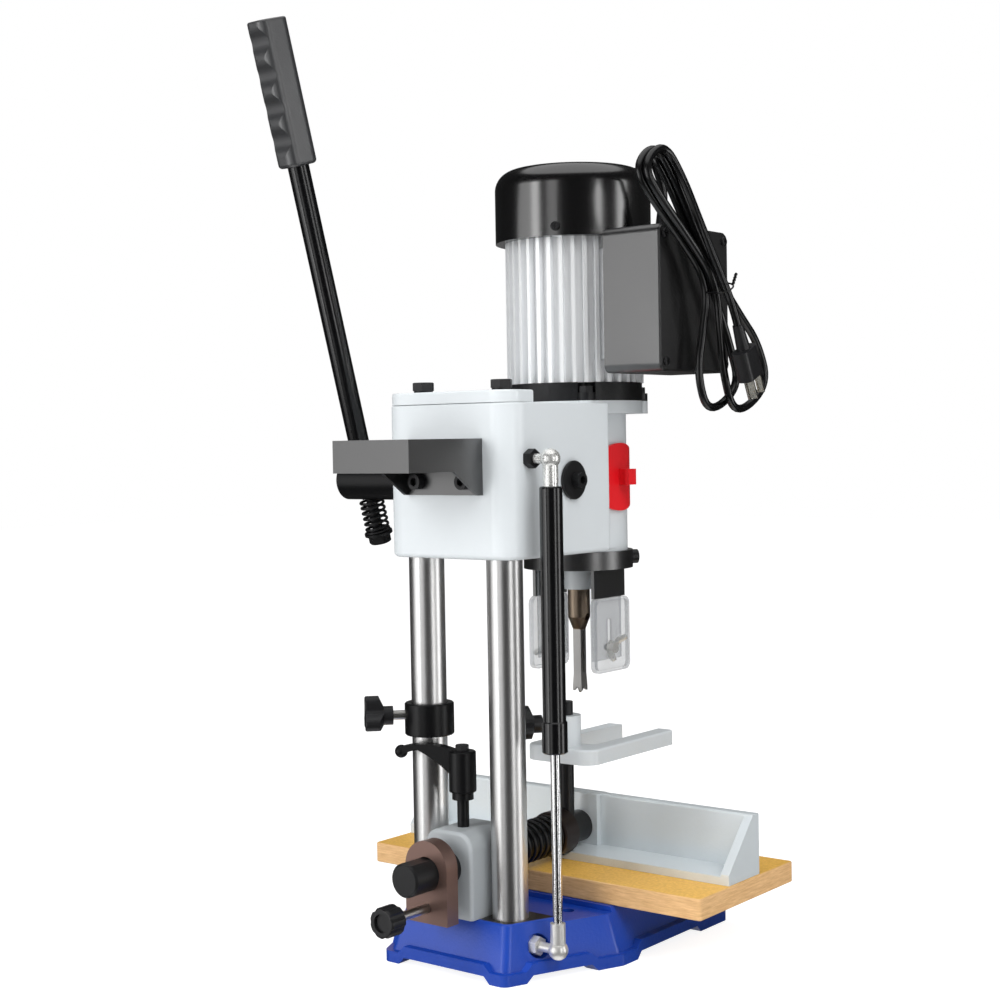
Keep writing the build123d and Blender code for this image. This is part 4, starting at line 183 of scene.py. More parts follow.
MILLED_IRON = {"color": (0.11, 0.1, 0.09), "roughness": 0.4, "metallic": 1.0}
BLUE_ENAMEL = {"color": (0.006, 0.048, 0.36), "roughness": 0.33, "metallic": 0.0}

# Where those finishes meet
PAD_LEVEL = 45.0
PAD_FRONT = -22.0
PAD_LEVELNESS = 0.97
ADJUST_KNOB_FOOT = 94.8
STRUT_NUT_X = -75.2
STRUT_SOCKET_TOP = 48.0
CHISEL_SHANK_FOOT = 265.5

# Base enamel: relief, weight and roughness of its coat
BASE_BUMP = 0.6
BASE_COAT = 0.25
BASE_COAT_ROUGHNESS = 0.2

# Knobs on plated screws: bearing in degrees, the centre the screw points out from, distance out to the knob
KNOBS = {
    "hold_knob_finish": (52.0, (0, -139, 183.5), 22.8),
    "stop_knob_finish": (45.0, (42, 0, 206.5), 30.8),
}

# Fibreboard: sanded faces and fibrous edges, each blended between two colours at two places of its noise
FACE_LEVELNESS = 0.75
FIBRE_STRETCH = (70, 70, 900)
FIBRE_DETAIL = 6
FIBRE_ROUGHNESS = 0.65
FIBRE_BUMP = 0.12
EDGE_TONES = ((0.3, (0.56, 0.31, 0.125)), (0.72, (0.82, 0.53, 0.25)))
SPECKLE_SCALE = 420
SPECKLE_DETAIL = 4
FACE_TONES = ((0.3, (0.67, 0.37, 0.06)), (0.7, (0.85, 0.5, 0.105)))
BOARD_ROUGHNESS = 0.5

# Clear guards: skin, then opacity at the edges, where more opaque grey paints the reflection along the
# plastic's edges, and how much less the broad faces have
CLEAR_SKIN = {"Color": (0.34, 0.36, 0.38, 1), "Drift": 0.04, "Roughness": 0.14, "Grain": 90.0}
CLEAR_BUMP = 0.05
CLEAR_EDGE = 0.5
CLEAR_FACE_LESS = 0.2

# Painted, moulded and oxidised skins: colour, roughness, drift, grain, bump, and what else sets them apart
SKINS = {
    "grey_enamel": ((0.61, 0.645, 0.665), 0.38, 0.05, 260, 0.22, {"coat": 0.2}),
    # The rod block's enamel is the grey enamel made darker: painted shade, for the shade the block stands in
    # between the columns
    "painted_shade_enamel": ((0.36, 0.385, 0.4), 0.4, 0.06, 260, 0.25, {"coat": 0.15}),
    "fence_metal": ((0.66, 0.71, 0.735), 0.36, 0.16, 320, 0.35, {"metallic": 0.25}),
    "satin_black": ((0.004, 0.004, 0.0045), 0.33, 0.14, 420, 0.16, {"ior": 2.3}),
    "tube_black": ((0.002, 0.002, 0.0025), 0.22, 0.1, 300, 0.06, {"ior": 1.6}),
    "cast_black": ((0.006, 0.006, 0.007), 0.42, 0.25, 190, 1.0, {}),
    "gloss_black": ((0.001, 0.001, 0.0012), 0.21, 0.06, 120, 0.03, {"ior": 2.2}),
    "oxide_black": ((0.016, 0.016, 0.017), 0.36, 0.2, 350, 0.2, {"metallic": 0.4}),
    "spring_black": ((0.012, 0.012, 0.013), 0.3, 0.2, 500, 0.15, {"metallic": 0.3}),
    "oxide_brown": ((0.23, 0.145, 0.122), 0.38, 0.2, 380, 0.18, {"metallic": 0.75}),
    "collar_brown": ((0.03, 0.021, 0.019), 0.36, 0.2, 380, 0.15, {"metallic": 0.6}),
    "black_moulding": ((0.004, 0.004, 0.0045), 0.36, 0.12, 500, 0.2, {"ior": 1.35}),
    "soft_grip": ((0.026, 0.027, 0.029), 0.4, 0.12, 600, 0.3, {"ior": 2.1}),
    "cord_sheath": ((0.0015, 0.0015, 0.0018), 0.28, 0.1, 420, 0.1, {"ior": 1.6}),
    "red_moulding": ((0.75, 0.008, 0.014), 0.32, 0.06, 300, 0.08, {"coat": 0.1}),
    "green_moulding": ((0.02, 0.3, 0.06), 0.32, 0.06, 300, 0.08, {"coat": 0.1}),
}

# Bare metals: colour, roughness, how the tool lines are drawn out, bump, metallic share
METALS = {
    "ground_steel": ((0.76, 0.755, 0.75), 0.3, (160, 160, 3200), 0.03, 1.0),
    "plain_steel": ((0.46, 0.45, 0.44), 0.3, (900, 900, 200), 0.06, 1.0),
    "zinc": ((0.85, 0.84, 0.81), 0.24, (500, 500, 500), 0.05, 0.7),
    "aluminium": ((0.9, 0.91, 0.92), 0.42, (1800, 1800, 30), 0.05, 0.45),
}

# The nodes that each finish is on
FINISHES = {
    "base_enamel": ("base_casting",),
    "grey_enamel": ("head_casting", "top_plate", "hold_down_fork"),
    # The rod block wears the darker copy of the grey enamel, which is painted shade
    "painted_shade_enamel": ("rod_block",),
    "fence_metal": ("fence",),
    "satin_black": ("tool_shelf", "switch_box", "box_lid", "guard_bracket"),
    "tube_black": ("lever_tube", "strut_tube"),
    "cast_black": ("motor_flange",),
    "gloss_black": ("fan_cover",),
    "oxide_black": (
        "column_bolts", "motor_bolts", "shaft_end_washer", "head_socket_screws", "cover_screws", "fence_rod",
        "hold_down_post", "lever_end_bolt",
    ),
    "oxide_brown": ("adjust_plate",),
    "collar_brown": ("rod_collar",),
    "black_moulding": (
        "clamp_handle", "cord_gland", "switch_body", "cooling_fan", "depth_stop_collar", "lever_hub",
    ),
    "soft_grip": ("lever_grip",),
    "red_moulding": ("access_cover", "stop_button"),
    "green_moulding": ("start_button",),
    "ground_steel": ("left_column", "right_column", "pinion_shaft"),
    "plain_steel": ("rotor", "stator_and_bearings", "drill_chuck", "auger_bit"),
    "zinc": ("table_screws", "wing_screw_left", "wing_screw_right"),
    "strut_rod_finish": ("strut_rod",),
    "strut_joint": ("strut_upper_joint",),
    "aluminium": ("motor_housing",),
    "fibreboard": ("table_board",),
    "clear": ("guard_panels", "guard_tray_left", "guard_tray_right"),
    "chisel_steel": ("chisel",),
    "adjust_finish": ("adjust_knob",),
    "hold_knob_finish": ("hold_down_knob",),
    "stop_knob_finish": ("depth_stop_knob",),
    "plug_finish": ("plug",),
}

# Studio, metres. Lamps: place, target, size and power
LAMPS = {
    "key_light": ((-1.6, 0.6, 1.7), (0, 0, 0.35), (1.0, 1.4), 26),
    "left_light": ((0.7, 2.0, 1.1), (0, 0, 0.35), (0.9, 1.6), 32),
    "top_light": ((0.0, 0.2, 2.2), (0, 0, 0.3), (1.6, 1.6), 17),
}
WORLD_LIGHT = 0.45
FLOOR_SIZE = 14.0
FLOOR_COLOR = (0.9, 0.9, 0.9, 1)
FLOOR_ROUGHNESS = 0.9
FLOOR_GLOW = 1.45
FLOOR_GLOW_SHARE = 0.6

# Studio wall and its lit strips: bearing in degrees to the right of the camera's side, width, brightness
WALL_R = 2.6
WALL_HEIGHT = 7.0
WALL_SIDES = 96
WALL_GLOW = 0.03
STRIP_R = 2.5
STRIP_LOW = -0.6
STRIP_HIGH = 1.3
STRIPS = (
    (-80.0, 1.2, 1.3),
    (-60.0, 0.55, 3.6),
    (-33.0, 0.75, 1.15),
    (36.0, 0.42, 3.5),
    (74.0, 0.75, 3.0),
    (180.0, 0.8, 0.2),
)


def metres(point):
    """A point of the part's own millimetres in the shared frame."""
    return Vector((point[0], point[1] + COLUMN_Y, point[2])) / MILLI


def deselect():
    bpy.ops.object.select_all(action="DESELECT")


def select_only(piece):
    deselect()
    piece.select_set(True)
    bpy.context.view_layer.objects.active = piece


def add_camera():
    yaw, pitch, roll = (math.radians(a) for a in (CAMERA_YAW, CAMERA_PITCH, CAMERA_ROLL))
    level = Vector((math.sin(yaw), -math.cos(yaw), 0))
    right = level.cross(UP)
    ahead = level * math.cos(pitch) - UP * math.sin(pitch)
    down = ahead.cross(right)
    turned_right = right * math.cos(roll) + down * math.sin(roll)
    turned_down = down * math.cos(roll) - right * math.sin(roll)
    deselect()
    bpy.ops.object.camera_add(location=metres(CAMERA_PLACE))
    camera = bpy.context.object
    camera.name = "camera"
    axes = Matrix((turned_right, -turned_down, -ahead)).transposed()
    camera.rotation_euler = axes.to_euler()
    camera.data.lens = CAMERA_LENS
    camera.data.sensor_width = CAMERA_SENSOR
    camera.data.clip_end = CAMERA_FAR
    bpy.context.scene.camera = camera


def hank_rise(up):
    """The hank's upward direction over its waist or, where up isn't positive, under it."""
    lean = math.radians(HANK_TOP_LEAN if up > 0 else HANK_LOW_LEAN)
    tilt = math.radians(HANK_TILT if up > 0 else 0)
    return Vector((math.sin(tilt), math.cos(tilt) * math.sin(lean), math.cos(tilt) * math.cos(lean)))


def hank_point(layer, across, up):
    """A point of the hank: layers out from the switch box, then across and up from the waist."""
    waist = Vector((HANK_X - HANK_STEP * layer, HANK_WAIST_Y, HANK_WAIST_Z))
    rise = hank_rise(up)
    side = rise.cross(Vector((-1, 0, 0))).normalized()
    return waist + rise * up - side * across


def hank_turn(turn, low_run, low_r, foot):
    """Control points of one turn: down through the waist, round the lower loop, up and over the top."""
    low = -low_run
    narrow_top = TOP_NARROW * HANK_TOP_R
    narrow_low = LOW_NARROW * low_r
    middle_foot = FOOT_MIDDLE * foot
    leaving, crossing, arriving = (turn + layer for layer in RISING_LAYERS)
    return [
        hank_point(turn, -HANK_TOP_R, TOP_EASE * HANK_TOP_RUN),
        hank_point(turn, -narrow_top, TOP_MIDDLE * HANK_TOP_RUN),
        hank_point(turn, -HANK_WAIST_R, OVER_WAIST),
        hank_point(turn, middle_foot - narrow_low, LOW_MIDDLE * low),
        hank_point(turn, foot - low_r, LOW_EASE * low),
        hank_point(turn, foot - low_r, low - HANK_LOW_DEPTH),
        hank_point(turn, foot + low_r, low - HANK_LOW_DEPTH),
        hank_point(turn, foot + low_r, LOW_EASE * low),
        hank_point(leaving, middle_foot + narrow_low, LOW_MIDDLE * low),
        hank_point(crossing, HANK_WAIST_R, OVER_WAIST),
        hank_point(arriving, narrow_top, TOP_MIDDLE * HANK_TOP_RUN),
        hank_point(turn + 1, HANK_TOP_R, TOP_EASE * HANK_TOP_RUN),
        hank_point(turn + 1, HANK_TOP_R, HANK_TOP_RUN + HANK_TOP_R),
        hank_point(turn + 1, -HANK_TOP_R, HANK_TOP_RUN + HANK_TOP_R),
    ]


def plug_run():
    """Control points from the last turn's top, under the tie, to the plug."""
    turns = len(HANK_LOW_RUNS)
    last = turns + PLUG_LAYERS
    return [
        hank_point(turns, -HANK_TOP_R, TOP_EASE * HANK_TOP_RUN),
        hank_point(turns + PLUG_MIDDLE * PLUG_LAYERS, -PLUG_NARROW * HANK_TOP_R, TOP_MIDDLE * HANK_TOP_RUN),
        hank_point(last - TIE_DRAW, PLUG_ACROSS - PLUG_TUCK, OVER_WAIST),
        hank_point(last, PLUG_ACROSS, -PLUG_EASE * PLUG_DROP),
        hank_point(last, PLUG_ACROSS, -PLUG_DROP),
    ]


def cord_route():
    """The cord's control points: the lead out of the gland, the turns of the hank, the run to the plug."""
    lean = math.radians(LEAD_LEAN)
    heading = Vector((0, math.sin(lean), math.cos(lean)))
    points = [Vector((*LEAD_XY, height)) for height in LEAD_HEIGHTS]
    points.append(points[-1] + heading * LEAD_RUN)
    points.append(hank_point(0, -HANK_TOP_R, HANK_TOP_RUN + LEAD_FOLD))
    for turn, loop in enumerate(zip(HANK_LOW_RUNS, HANK_LOW_RADII, HANK_FEET)):
        points += hank_turn(turn, *loop)
    return points + plug_run()


def bent_curve(name, points, diameter, steps, roundness, cyclic=False):
    """A round cord or wire bent along points, as a curve."""
    curve = bpy.data.curves.new(name, "CURVE")
    curve.dimensions = "3D"
    spline = curve.splines.new("NURBS")
    spline.points.add(len(points) - 1)
    for target, point in zip(spline.points, points):
        target.co = (*metres(point), 1)
    spline.order_u = CURVE_ORDER
    spline.use_endpoint_u = not cyclic
    spline.use_cyclic_u = cyclic
    spline.resolution_u = steps
    curve.resolution_u = steps
    curve.bevel_depth = diameter / 2 / MILLI
    curve.bevel_resolution = roundness
    curve.use_fill_caps = True
    bent = bpy.data.objects.new(name, curve)
    bpy.context.collection.objects.link(bent)
    return bent


def add_cord():
    """The mains lead from the gland, through its tied hank, to the plug."""
    lead = bent_curve("mains_lead", cord_route(), CORD_D, CORD_STEPS, CORD_ROUND)
    lead.data.materials.append(MATERIALS["cord_sheath"])
    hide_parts("power_cord", "cord_hank")
    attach(lead, "head")


def wire_mesh(name, points, diameter, cyclic=False):
    """A round wire bent along points, as a mesh."""
    wire = bent_curve(name, points, diameter, WIRE_STEPS, WIRE_ROUND, cyclic)
    select_only(wire)
    bpy.ops.object.convert(target="MESH")
    bpy.ops.object.shade_smooth_by_angle(angle=math.radians(WIRE_SMOOTH_ANGLE))
    return wire


def grind_flat(piece, place, outward):
    """Cut a piece off flat at a place and close the cut."""
    select_only(piece)
    bpy.ops.object.mode_set(mode="EDIT")
    bpy.ops.mesh.select_all(action="SELECT")
    bpy.ops.mesh.bisect(plane_co=metres(place), plane_no=outward, use_fill=True, clear_outer=True)
    bpy.ops.object.mode_set(mode="OBJECT")


def coil_points(foot, axis, wire, radius, length, turns):
    """Points of a compression spring's wire: open turns between two closed ones."""
    side = Vector((1, 0, 0))
    other = axis.cross(side)
    closed_pitch = CLOSED_PITCH * wire
    open_pitch = (length - 2 * closed_pitch) / turns
    reach = radius / math.cos(math.pi / SPRING_STEPS)
    points = []
    for i in range((turns + 2) * SPRING_STEPS + 1):
        turn = i / SPRING_STEPS
        first = min(turn, 1)
        opened = min(max(turn - 1, 0), turns)
        last = max(turn - 1 - turns, 0)
        rise = closed_pitch * first + open_pitch * opened + closed_pitch * last
        angle = math.tau * turn
        points.append(foot + axis * rise + (side * math.cos(angle) + other * math.sin(angle)) * reach)
    return points


def add_spring(name, foot, axis, wire, radius, length, turns):
    """A wound spring with closed ends, ground flat where they seat."""
    spring = wire_mesh(name, coil_points(foot, axis, wire, radius, length, turns), wire)
    grind_flat(spring, foot, -axis)
    grind_flat(spring, foot + axis * length, axis)
    spring.data.materials.append(MATERIALS["spring_black"])
    return spring


def add_lever_spring():
    tilt = math.radians(LEVER_TILT)
    axis = Vector((0, math.sin(tilt), math.cos(tilt)))
    foot = Vector(LEVER_PIVOT) - axis * LEVER_SPRING_FOOT
    spring = add_spring("lever_return_spring", foot, axis, **LEVER_SPRING)
    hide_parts("lever_spring")
    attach(spring, "lever")
    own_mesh(spring)


def add_fence_spring():
    low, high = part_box("fence_spring")
    length = MILLI * (high.y - low.y)
    axis = Vector((0, 1, 0))
    foot = Vector((0, MILLI * low.y - COLUMN_Y, FENCE_ROD_Z))
    spring = add_spring("fence_return_spring", foot, axis, length=length, **FENCE_SPRING)
    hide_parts("fence_spring")
    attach(spring, "fence_slide_body")
    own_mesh(spring)


def boxed(share):
    """Draw an ellipse's share out toward the corners of its box."""
    return math.copysign(abs(share) ** TIE_SQUARENESS, share)


def add_cord_tie():
    """The wire tie round the hank's waist, its two ends twisted together."""
    centre = hank_point(TIE_LAYER, TIE_ACROSS, -TIE_DROP)
    wide = (hank_point(TIE_LAYER, TIE_ACROSS + 1, -TIE_DROP) - centre).normalized()
    half_wide = wide * TIE_WIDE
    half_deep = Vector((-TIE_DEEP, 0, 0)) + wide * TIE_SKEW
    ring = []
    for i in range(TIE_STEPS):
        angle = math.tau * i / TIE_STEPS
        ring.append(centre + half_deep * boxed(math.cos(angle)) + half_wide * boxed(math.sin(angle)))
    tie = wire_mesh("cord_tie", ring, TIE_WIRE, cyclic=True)
    root = centre + half_deep * boxed(math.cos(TIE_CORNER)) - half_wide * boxed(math.sin(TIE_CORNER))
    out = (half_deep.normalized() - wide).normalized()
    around = out.cross(UP).normalized()
    heading = (TIE_TAIL_LEAN * out + UP).normalized()
    for start in (0, math.pi):
        tail = []
        for i in range(TIE_TAIL_STEPS + 1):
            angle = start + math.tau * TIE_TAIL_TURNS * i / TIE_TAIL_STEPS
            along = root + heading * TIE_TAIL * i / TIE_TAIL_STEPS
            tail.append(along + (around * math.cos(angle) + out * math.sin(angle)) * TIE_TWIST * TIE_WIRE)
        wire_mesh("cord_tie_end", tail, TIE_WIRE)
        tie.select_set(True)
        bpy.context.view_layer.objects.active = tie
        bpy.ops.object.join()
    tie.data.materials.append(MATERIALS["cord_sheath"])
    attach(tie, "head")


def feed(tree, socket, value):
    """Link a value to a socket, or set the socket to a constant."""
    if isinstance(value, bpy.types.NodeSocket):
        tree.links.new(value, socket)
    else:
        socket.default_value = value


def math_node(tree, operation, *values):
    node = tree.nodes.new("ShaderNodeMath")
    node.operation = operation
    for socket, value in zip(node.inputs, values):
        feed(tree, socket, value)
    return node.outputs[0]


def vector_node(tree, operation, vector, other):
    node = tree.nodes.new("ShaderNodeVectorMath")
    node.operation = operation
    feed(tree, node.inputs[0], vector)
    feed(tree, node.inputs["Scale" if operation == "SCALE" else 1], other)
    return node.outputs["Value" if operation == "DOT_PRODUCT" else "Vector"]


def noise_node(tree, place, scale, detail, roughness=0.5):
    node = tree.nodes.new("ShaderNodeTexNoise")
    feed(tree, node.inputs["Vector"], place)
    feed(tree, node.inputs["Scale"], scale)
    node.inputs["Detail"].default_value = detail
    node.inputs["Roughness"].default_value = roughness
    return node.outputs["Fac"]


def ramp_node(tree, value, tones):
    """Blend two colours, each given with its place on the ramp."""
    node = tree.nodes.new("ShaderNodeValToRGB")
    for element, (position, color) in zip(node.color_ramp.elements, tones):
        element.position = position
        element.color = (*color, 1)
    feed(tree, node.inputs["Fac"], value)
    return node.outputs["Color"]


def mix_node(tree, kind, mask, before, past):
    """One value or colour where a mask is 0 and another where it is 1."""
    node = tree.nodes.new("ShaderNodeMix")
    node.data_type = kind
    first, second, result = MIX_SOCKETS[kind]
    feed(tree, node.inputs[0], mask)
    feed(tree, node.inputs[first], before)
    feed(tree, node.inputs[second], past)
    return node.outputs[result]


def facing(tree, axis):
    """One coordinate of the surface's normal."""
    geometry = tree.nodes.new("ShaderNodeNewGeometry")
    split = tree.nodes.new("ShaderNodeSeparateXYZ")
    tree.links.new(geometry.outputs["Normal"], split.inputs[0])
    return split.outputs[axis]


def object_place(tree):
    return tree.nodes.new("ShaderNodeTexCoord").outputs["Object"]


def new_group(name, inputs, outputs):
    """A node group with named sockets of given kinds, the values it is given and the sockets it fills."""
    group = bpy.data.node_groups.new(name, "ShaderNodeTree")
    for side, sockets in (("INPUT", inputs), ("OUTPUT", outputs)):
        for socket, kind in sockets.items():
            group.interface.new_socket(name=socket, in_out=side, socket_type=f"NodeSocket{kind}")
    given = group.nodes.new("NodeGroupInput").outputs
    filled = group.nodes.new("NodeGroupOutput").inputs
    return group, given, filled


def skin_group():
    """A painted or moulded skin: slow drift of tone and gloss, and a fine peel."""
    group, given, filled = new_group(
        "skin_drift",
        {"Color": "Color", "Drift": "Float", "Roughness": "Float", "Grain": "Float"},
        {"Color": "Color", "Roughness": "Float", "Height": "Float"},
    )
    place = object_place(group)
    slow = noise_node(group, place, DRIFT_SCALE, DRIFT_DETAIL)
    centred = math_node(group, "SUBTRACT", slow, 0.5)
    swing = math_node(group, "MULTIPLY_ADD", centred, given["Drift"], 1.0)
    feed(group, filled["Color"], vector_node(group, "SCALE", given["Color"], swing))
    rough = math_node(group, "MULTIPLY_ADD", centred, DRIFT_ROUGHNESS, given["Roughness"])
    feed(group, filled["Roughness"], rough)
    feed(group, filled["Height"], noise_node(group, place, given["Grain"], PEEL_DETAIL))
    return group


def lines_group():
    """Fine tool lines on bare metal, drawn out along one direction."""
    group, given, filled = new_group(
        "tool_lines",
        {"Color": "Color", "Draw": "Vector", "Roughness": "Float"},
        {"Color": "Color", "Roughness": "Float", "Height": "Float"},
    )
    drawn = vector_node(group, "MULTIPLY", object_place(group), given["Draw"])
    lines = noise_node(group, drawn, 1.0, LINES_DETAIL)
    swing = math_node(group, "MULTIPLY_ADD", lines, *LINES_TONE)
    feed(group, filled["Color"], vector_node(group, "SCALE", given["Color"], swing))
    rough = math_node(group, "MULTIPLY_ADD", lines, LINES_ROUGHNESS, given["Roughness"])
    feed(group, filled["Roughness"], rough)
    feed(group, filled["Height"], lines)
    return group


def split_group():
    """A mask that is 0 before a place along a direction and 1 past it."""
    group, given, filled = new_group("past_place", {"Direction": "Vector", "Place": "Float"}, {"Mask": "Float"})
    along = vector_node(group, "DOT_PRODUCT", object_place(group), given["Direction"])
    feed(group, filled["Mask"], math_node(group, "GREATER_THAN", along, given["Place"]))
    return group


SKIN = skin_group()
LINES = lines_group()
SPLIT = split_group()


def new_material(name):
    material = bpy.data.materials.new(name)
    material.use_nodes = True
    return material, material.node_tree.nodes["Principled BSDF"]


def place_group(material, group, **values):
    node = material.node_tree.nodes.new("ShaderNodeGroup")
    node.node_tree = group
    for name, value in values.items():
        node.inputs[name].default_value = value
    return node


def bump_from(material, shader, height, strength, distance):
    bump = material.node_tree.nodes.new("ShaderNodeBump")
    bump.inputs["Strength"].default_value = strength
    bump.inputs["Distance"].default_value = distance
    material.node_tree.links.new(height, bump.inputs["Height"])
    material.node_tree.links.new(bump.outputs["Normal"], shader.inputs["Normal"])


def wear(material, shader, finish, bump, relief):
    """Give a shader the colour, roughness and relief of a finish."""
    link = material.node_tree.links.new
    link(finish.outputs["Color"], shader.inputs["Base Color"])
    link(finish.outputs["Roughness"], shader.inputs["Roughness"])
    bump_from(material, shader, finish.outputs["Height"], bump, relief)


def skin_material(name, color, roughness, drift, grain, bump, coat=0.0, metallic=0.0, ior=1.5):
    """Paint, moulded plastic or oxide."""
    material, shader = new_material(name)
    skin = place_group(material, SKIN, Color=(*color, 1), Drift=drift, Roughness=roughness, Grain=grain)
    wear(material, shader, skin, bump, SKIN_RELIEF)
    shader.inputs["Metallic"].default_value = metallic
    shader.inputs["IOR"].default_value = ior
    shader.inputs["Coat Weight"].default_value = coat
    shader.inputs["Coat Roughness"].default_value = COAT_ROUGHNESS
    return material


def metal_material(name, color, roughness, draw, bump, metallic):
    """Bare metal with drawn tool lines."""
    material, shader = new_material(name)
    lines = place_group(material, LINES, Color=(*color, 1), Draw=draw, Roughness=roughness)
    wear(material, shader, lines, bump, LINES_RELIEF)
    shader.inputs["Metallic"].default_value = metallic
    return material


def join_finishes(material, shader, mask, before, past, bump=JOINED_BUMP):
    """Lay bare metal where a mask is 0 and a skin where it is 1."""
    tree = material.node_tree
    skin = place_group(
        material, SKIN,
        Color=(*past["color"], 1), Drift=JOINED_DRIFT, Roughness=past["roughness"], Grain=JOINED_GRAIN,
    )
    lines = place_group(
        material, LINES, Color=(*before["color"], 1), Draw=JOINED_DRAW, Roughness=before["roughness"]
    )
    color = mix_node(tree, "RGBA", mask, lines.outputs["Color"], skin.outputs["Color"])
    rough = mix_node(tree, "FLOAT", mask, lines.outputs["Roughness"], skin.outputs["Roughness"])
    rest = past["metallic"] - before["metallic"]
    metal = math_node(tree, "MULTIPLY_ADD", mask, rest, before["metallic"])
    tree.links.new(color, shader.inputs["Base Color"])
    tree.links.new(rough, shader.inputs["Roughness"])
    tree.links.new(metal, shader.inputs["Metallic"])
    bump_from(material, shader, skin.outputs["Height"], bump, JOINED_RELIEF)


def two_part_material(name, direction, place, before, past):
    """One piece in two finishes: before a place along a direction, in metres, and past it."""
    material, shader = new_material(name)
    mask = place_group(material, SPLIT, Direction=direction, Place=place)
    join_finishes(material, shader, mask.outputs["Mask"], before, past)
    return material


def base_material():
    """Blue enamel on cast iron, with the milled pad under the columns left bare."""
    material, shader = new_material("base_enamel")
    tree = material.node_tree
    painted = math_node(tree, "LESS_THAN", facing(tree, "Z"), PAD_LEVELNESS)
    below = place_group(material, SPLIT, Direction=(0, 0, -1), Place=-PAD_LEVEL / MILLI)
    ahead = place_group(material, SPLIT, Direction=(0, -1, 0), Place=-metres((0, PAD_FRONT, 0)).y)
    for other in (below, ahead):
        painted = math_node(tree, "MAXIMUM", painted, other.outputs["Mask"])
    join_finishes(material, shader, painted, MILLED_IRON, BLUE_ENAMEL, BASE_BUMP)
    shader.inputs["Coat Weight"].default_value = BASE_COAT
    shader.inputs["Coat Roughness"].default_value = BASE_COAT_ROUGHNESS
    return material


def fibreboard_material():
    """Sanded tan faces, brown fibrous edges."""
    material, shader = new_material("fibreboard")
    tree = material.node_tree
    place = object_place(tree)
    stretch = tree.nodes.new("ShaderNodeMapping")
    stretch.inputs["Scale"].default_value = FIBRE_STRETCH
    tree.links.new(place, stretch.inputs["Vector"])
    fibre = noise_node(tree, stretch.outputs["Vector"], 1.0, FIBRE_DETAIL, FIBRE_ROUGHNESS)
    edge = ramp_node(tree, fibre, EDGE_TONES)
    face = ramp_node(tree, noise_node(tree, place, SPECKLE_SCALE, SPECKLE_DETAIL), FACE_TONES)
    flat = math_node(tree, "GREATER_THAN", facing(tree, "Z"), FACE_LEVELNESS)
    tree.links.new(mix_node(tree, "RGBA", flat, edge, face), shader.inputs["Base Color"])
    shader.inputs["Roughness"].default_value = BOARD_ROUGHNESS
    bump_from(material, shader, fibre, FIBRE_BUMP, FIBRE_RELIEF)
    return material


def clear_material():
    """Clear moulded polycarbonate, a little milky, and more opaque grey on its edge faces, which paints the
    reflection clear plastic shows at its edges.
    """
    material, shader = new_material("clear_guard")
    tree = material.node_tree
    wear(material, shader, place_group(material, SKIN, **CLEAR_SKIN), CLEAR_BUMP, SKIN_RELIEF)
    # Faces that don't face along X, the edges, get more opacity than the broad faces: painted edge reflection
    broad = math_node(tree, "ABSOLUTE", facing(tree, "X"))
    milk_and_edge_reflection = math_node(tree, "MULTIPLY_ADD", broad, -CLEAR_FACE_LESS, CLEAR_EDGE)
    tree.links.new(milk_and_edge_reflection, shader.inputs["Alpha"])
    return material


def knob_material(name, bearing, centre, standoff):
    """A black knob on a plated screw that points out from a centre."""
    turn = math.radians(bearing)
    direction = (math.cos(turn), math.sin(turn), 0)
    start = Vector(direction).dot(metres(centre)) + standoff / MILLI
    return two_part_material(name, direction, start, ZINC, BLACK_MOULDING)


def plug_material():
    """Black plug with bare metal pins."""
    up = hank_rise(-1)
    pin_foot = hank_point(len(HANK_LOW_RUNS) + PLUG_LAYERS, PLUG_ACROSS, -PLUG_DROP) - up * PIN_FOOT
    seam = up.dot(metres(pin_foot)) - PIN_SEAM / MILLI
    return two_part_material("plug_finish", up, seam, PIN_METAL, BLACK_MOULDING)


def make_materials():
    knob_foot = metres((0, ADJUST_KNOB_FOOT, 0)).y
    return {
        **{name: skin_material(name, *skin, **extra) for name, (*skin, extra) in SKINS.items()},
        **{name: metal_material(name, *metal) for name, metal in METALS.items()},
        **{name: knob_material(name, *knob) for name, knob in KNOBS.items()},
        "base_enamel": base_material(),
        "fibreboard": fibreboard_material(),
        "clear": clear_material(),
        "plug_finish": plug_material(),
        "strut_rod_finish": two_part_material(
            "strut_rod_finish", (0, 0, 1), STRUT_SOCKET_TOP / MILLI, NICKEL, POLISHED_ROD
        ),
        "strut_joint": two_part_material("strut_joint", (1, 0, 0), STRUT_NUT_X / MILLI, CHROME, BLACK_NUT),
        "chisel_steel": two_part_material(
            "chisel_steel", (0, 0, 1), CHISEL_SHANK_FOOT / MILLI, CUT_STEEL, BRONZE_SHANK
        ),
        "adjust_finish": two_part_material("adjust_finish", (0, 1, 0), knob_foot, ZINC, BLACK_MOULDING),
    }


MATERIALS = make_materials()


def finish_nodes():
    for finish, names in FINISHES.items():
        for name in names:
            node = nodes[name]
            node.data.materials.clear()
            node.data.materials.append(MATERIALS[finish])


def add_lamp(name, place, target, size, power):
    """An area lamp that lights the object but isn't mirrored in it."""
    deselect()
    bpy.ops.object.light_add(type="AREA", location=place)
    lamp = bpy.context.object
    lamp.name = name
    lamp.data.shape = "RECTANGLE"
    lamp.data.size, lamp.data.size_y = size
    lamp.data.energy = power
    lamp.visible_glossy = False
    aim = Vector(target) - Vector(place)
    lamp.rotation_euler = aim.to_track_quat("-Z", "Y").to_euler()


def seen_directly(tree):
    """1 for rays from the camera, in reflections and through clear pieces, 0 for light."""
    rays = tree.nodes.new("ShaderNodeLightPath")
    seen = rays.outputs["Is Camera Ray"]
    for name in ("Is Glossy Ray", "Is Transmission Ray"):
        seen = math_node(tree, "MAXIMUM", seen, rays.outputs[name])
    return seen


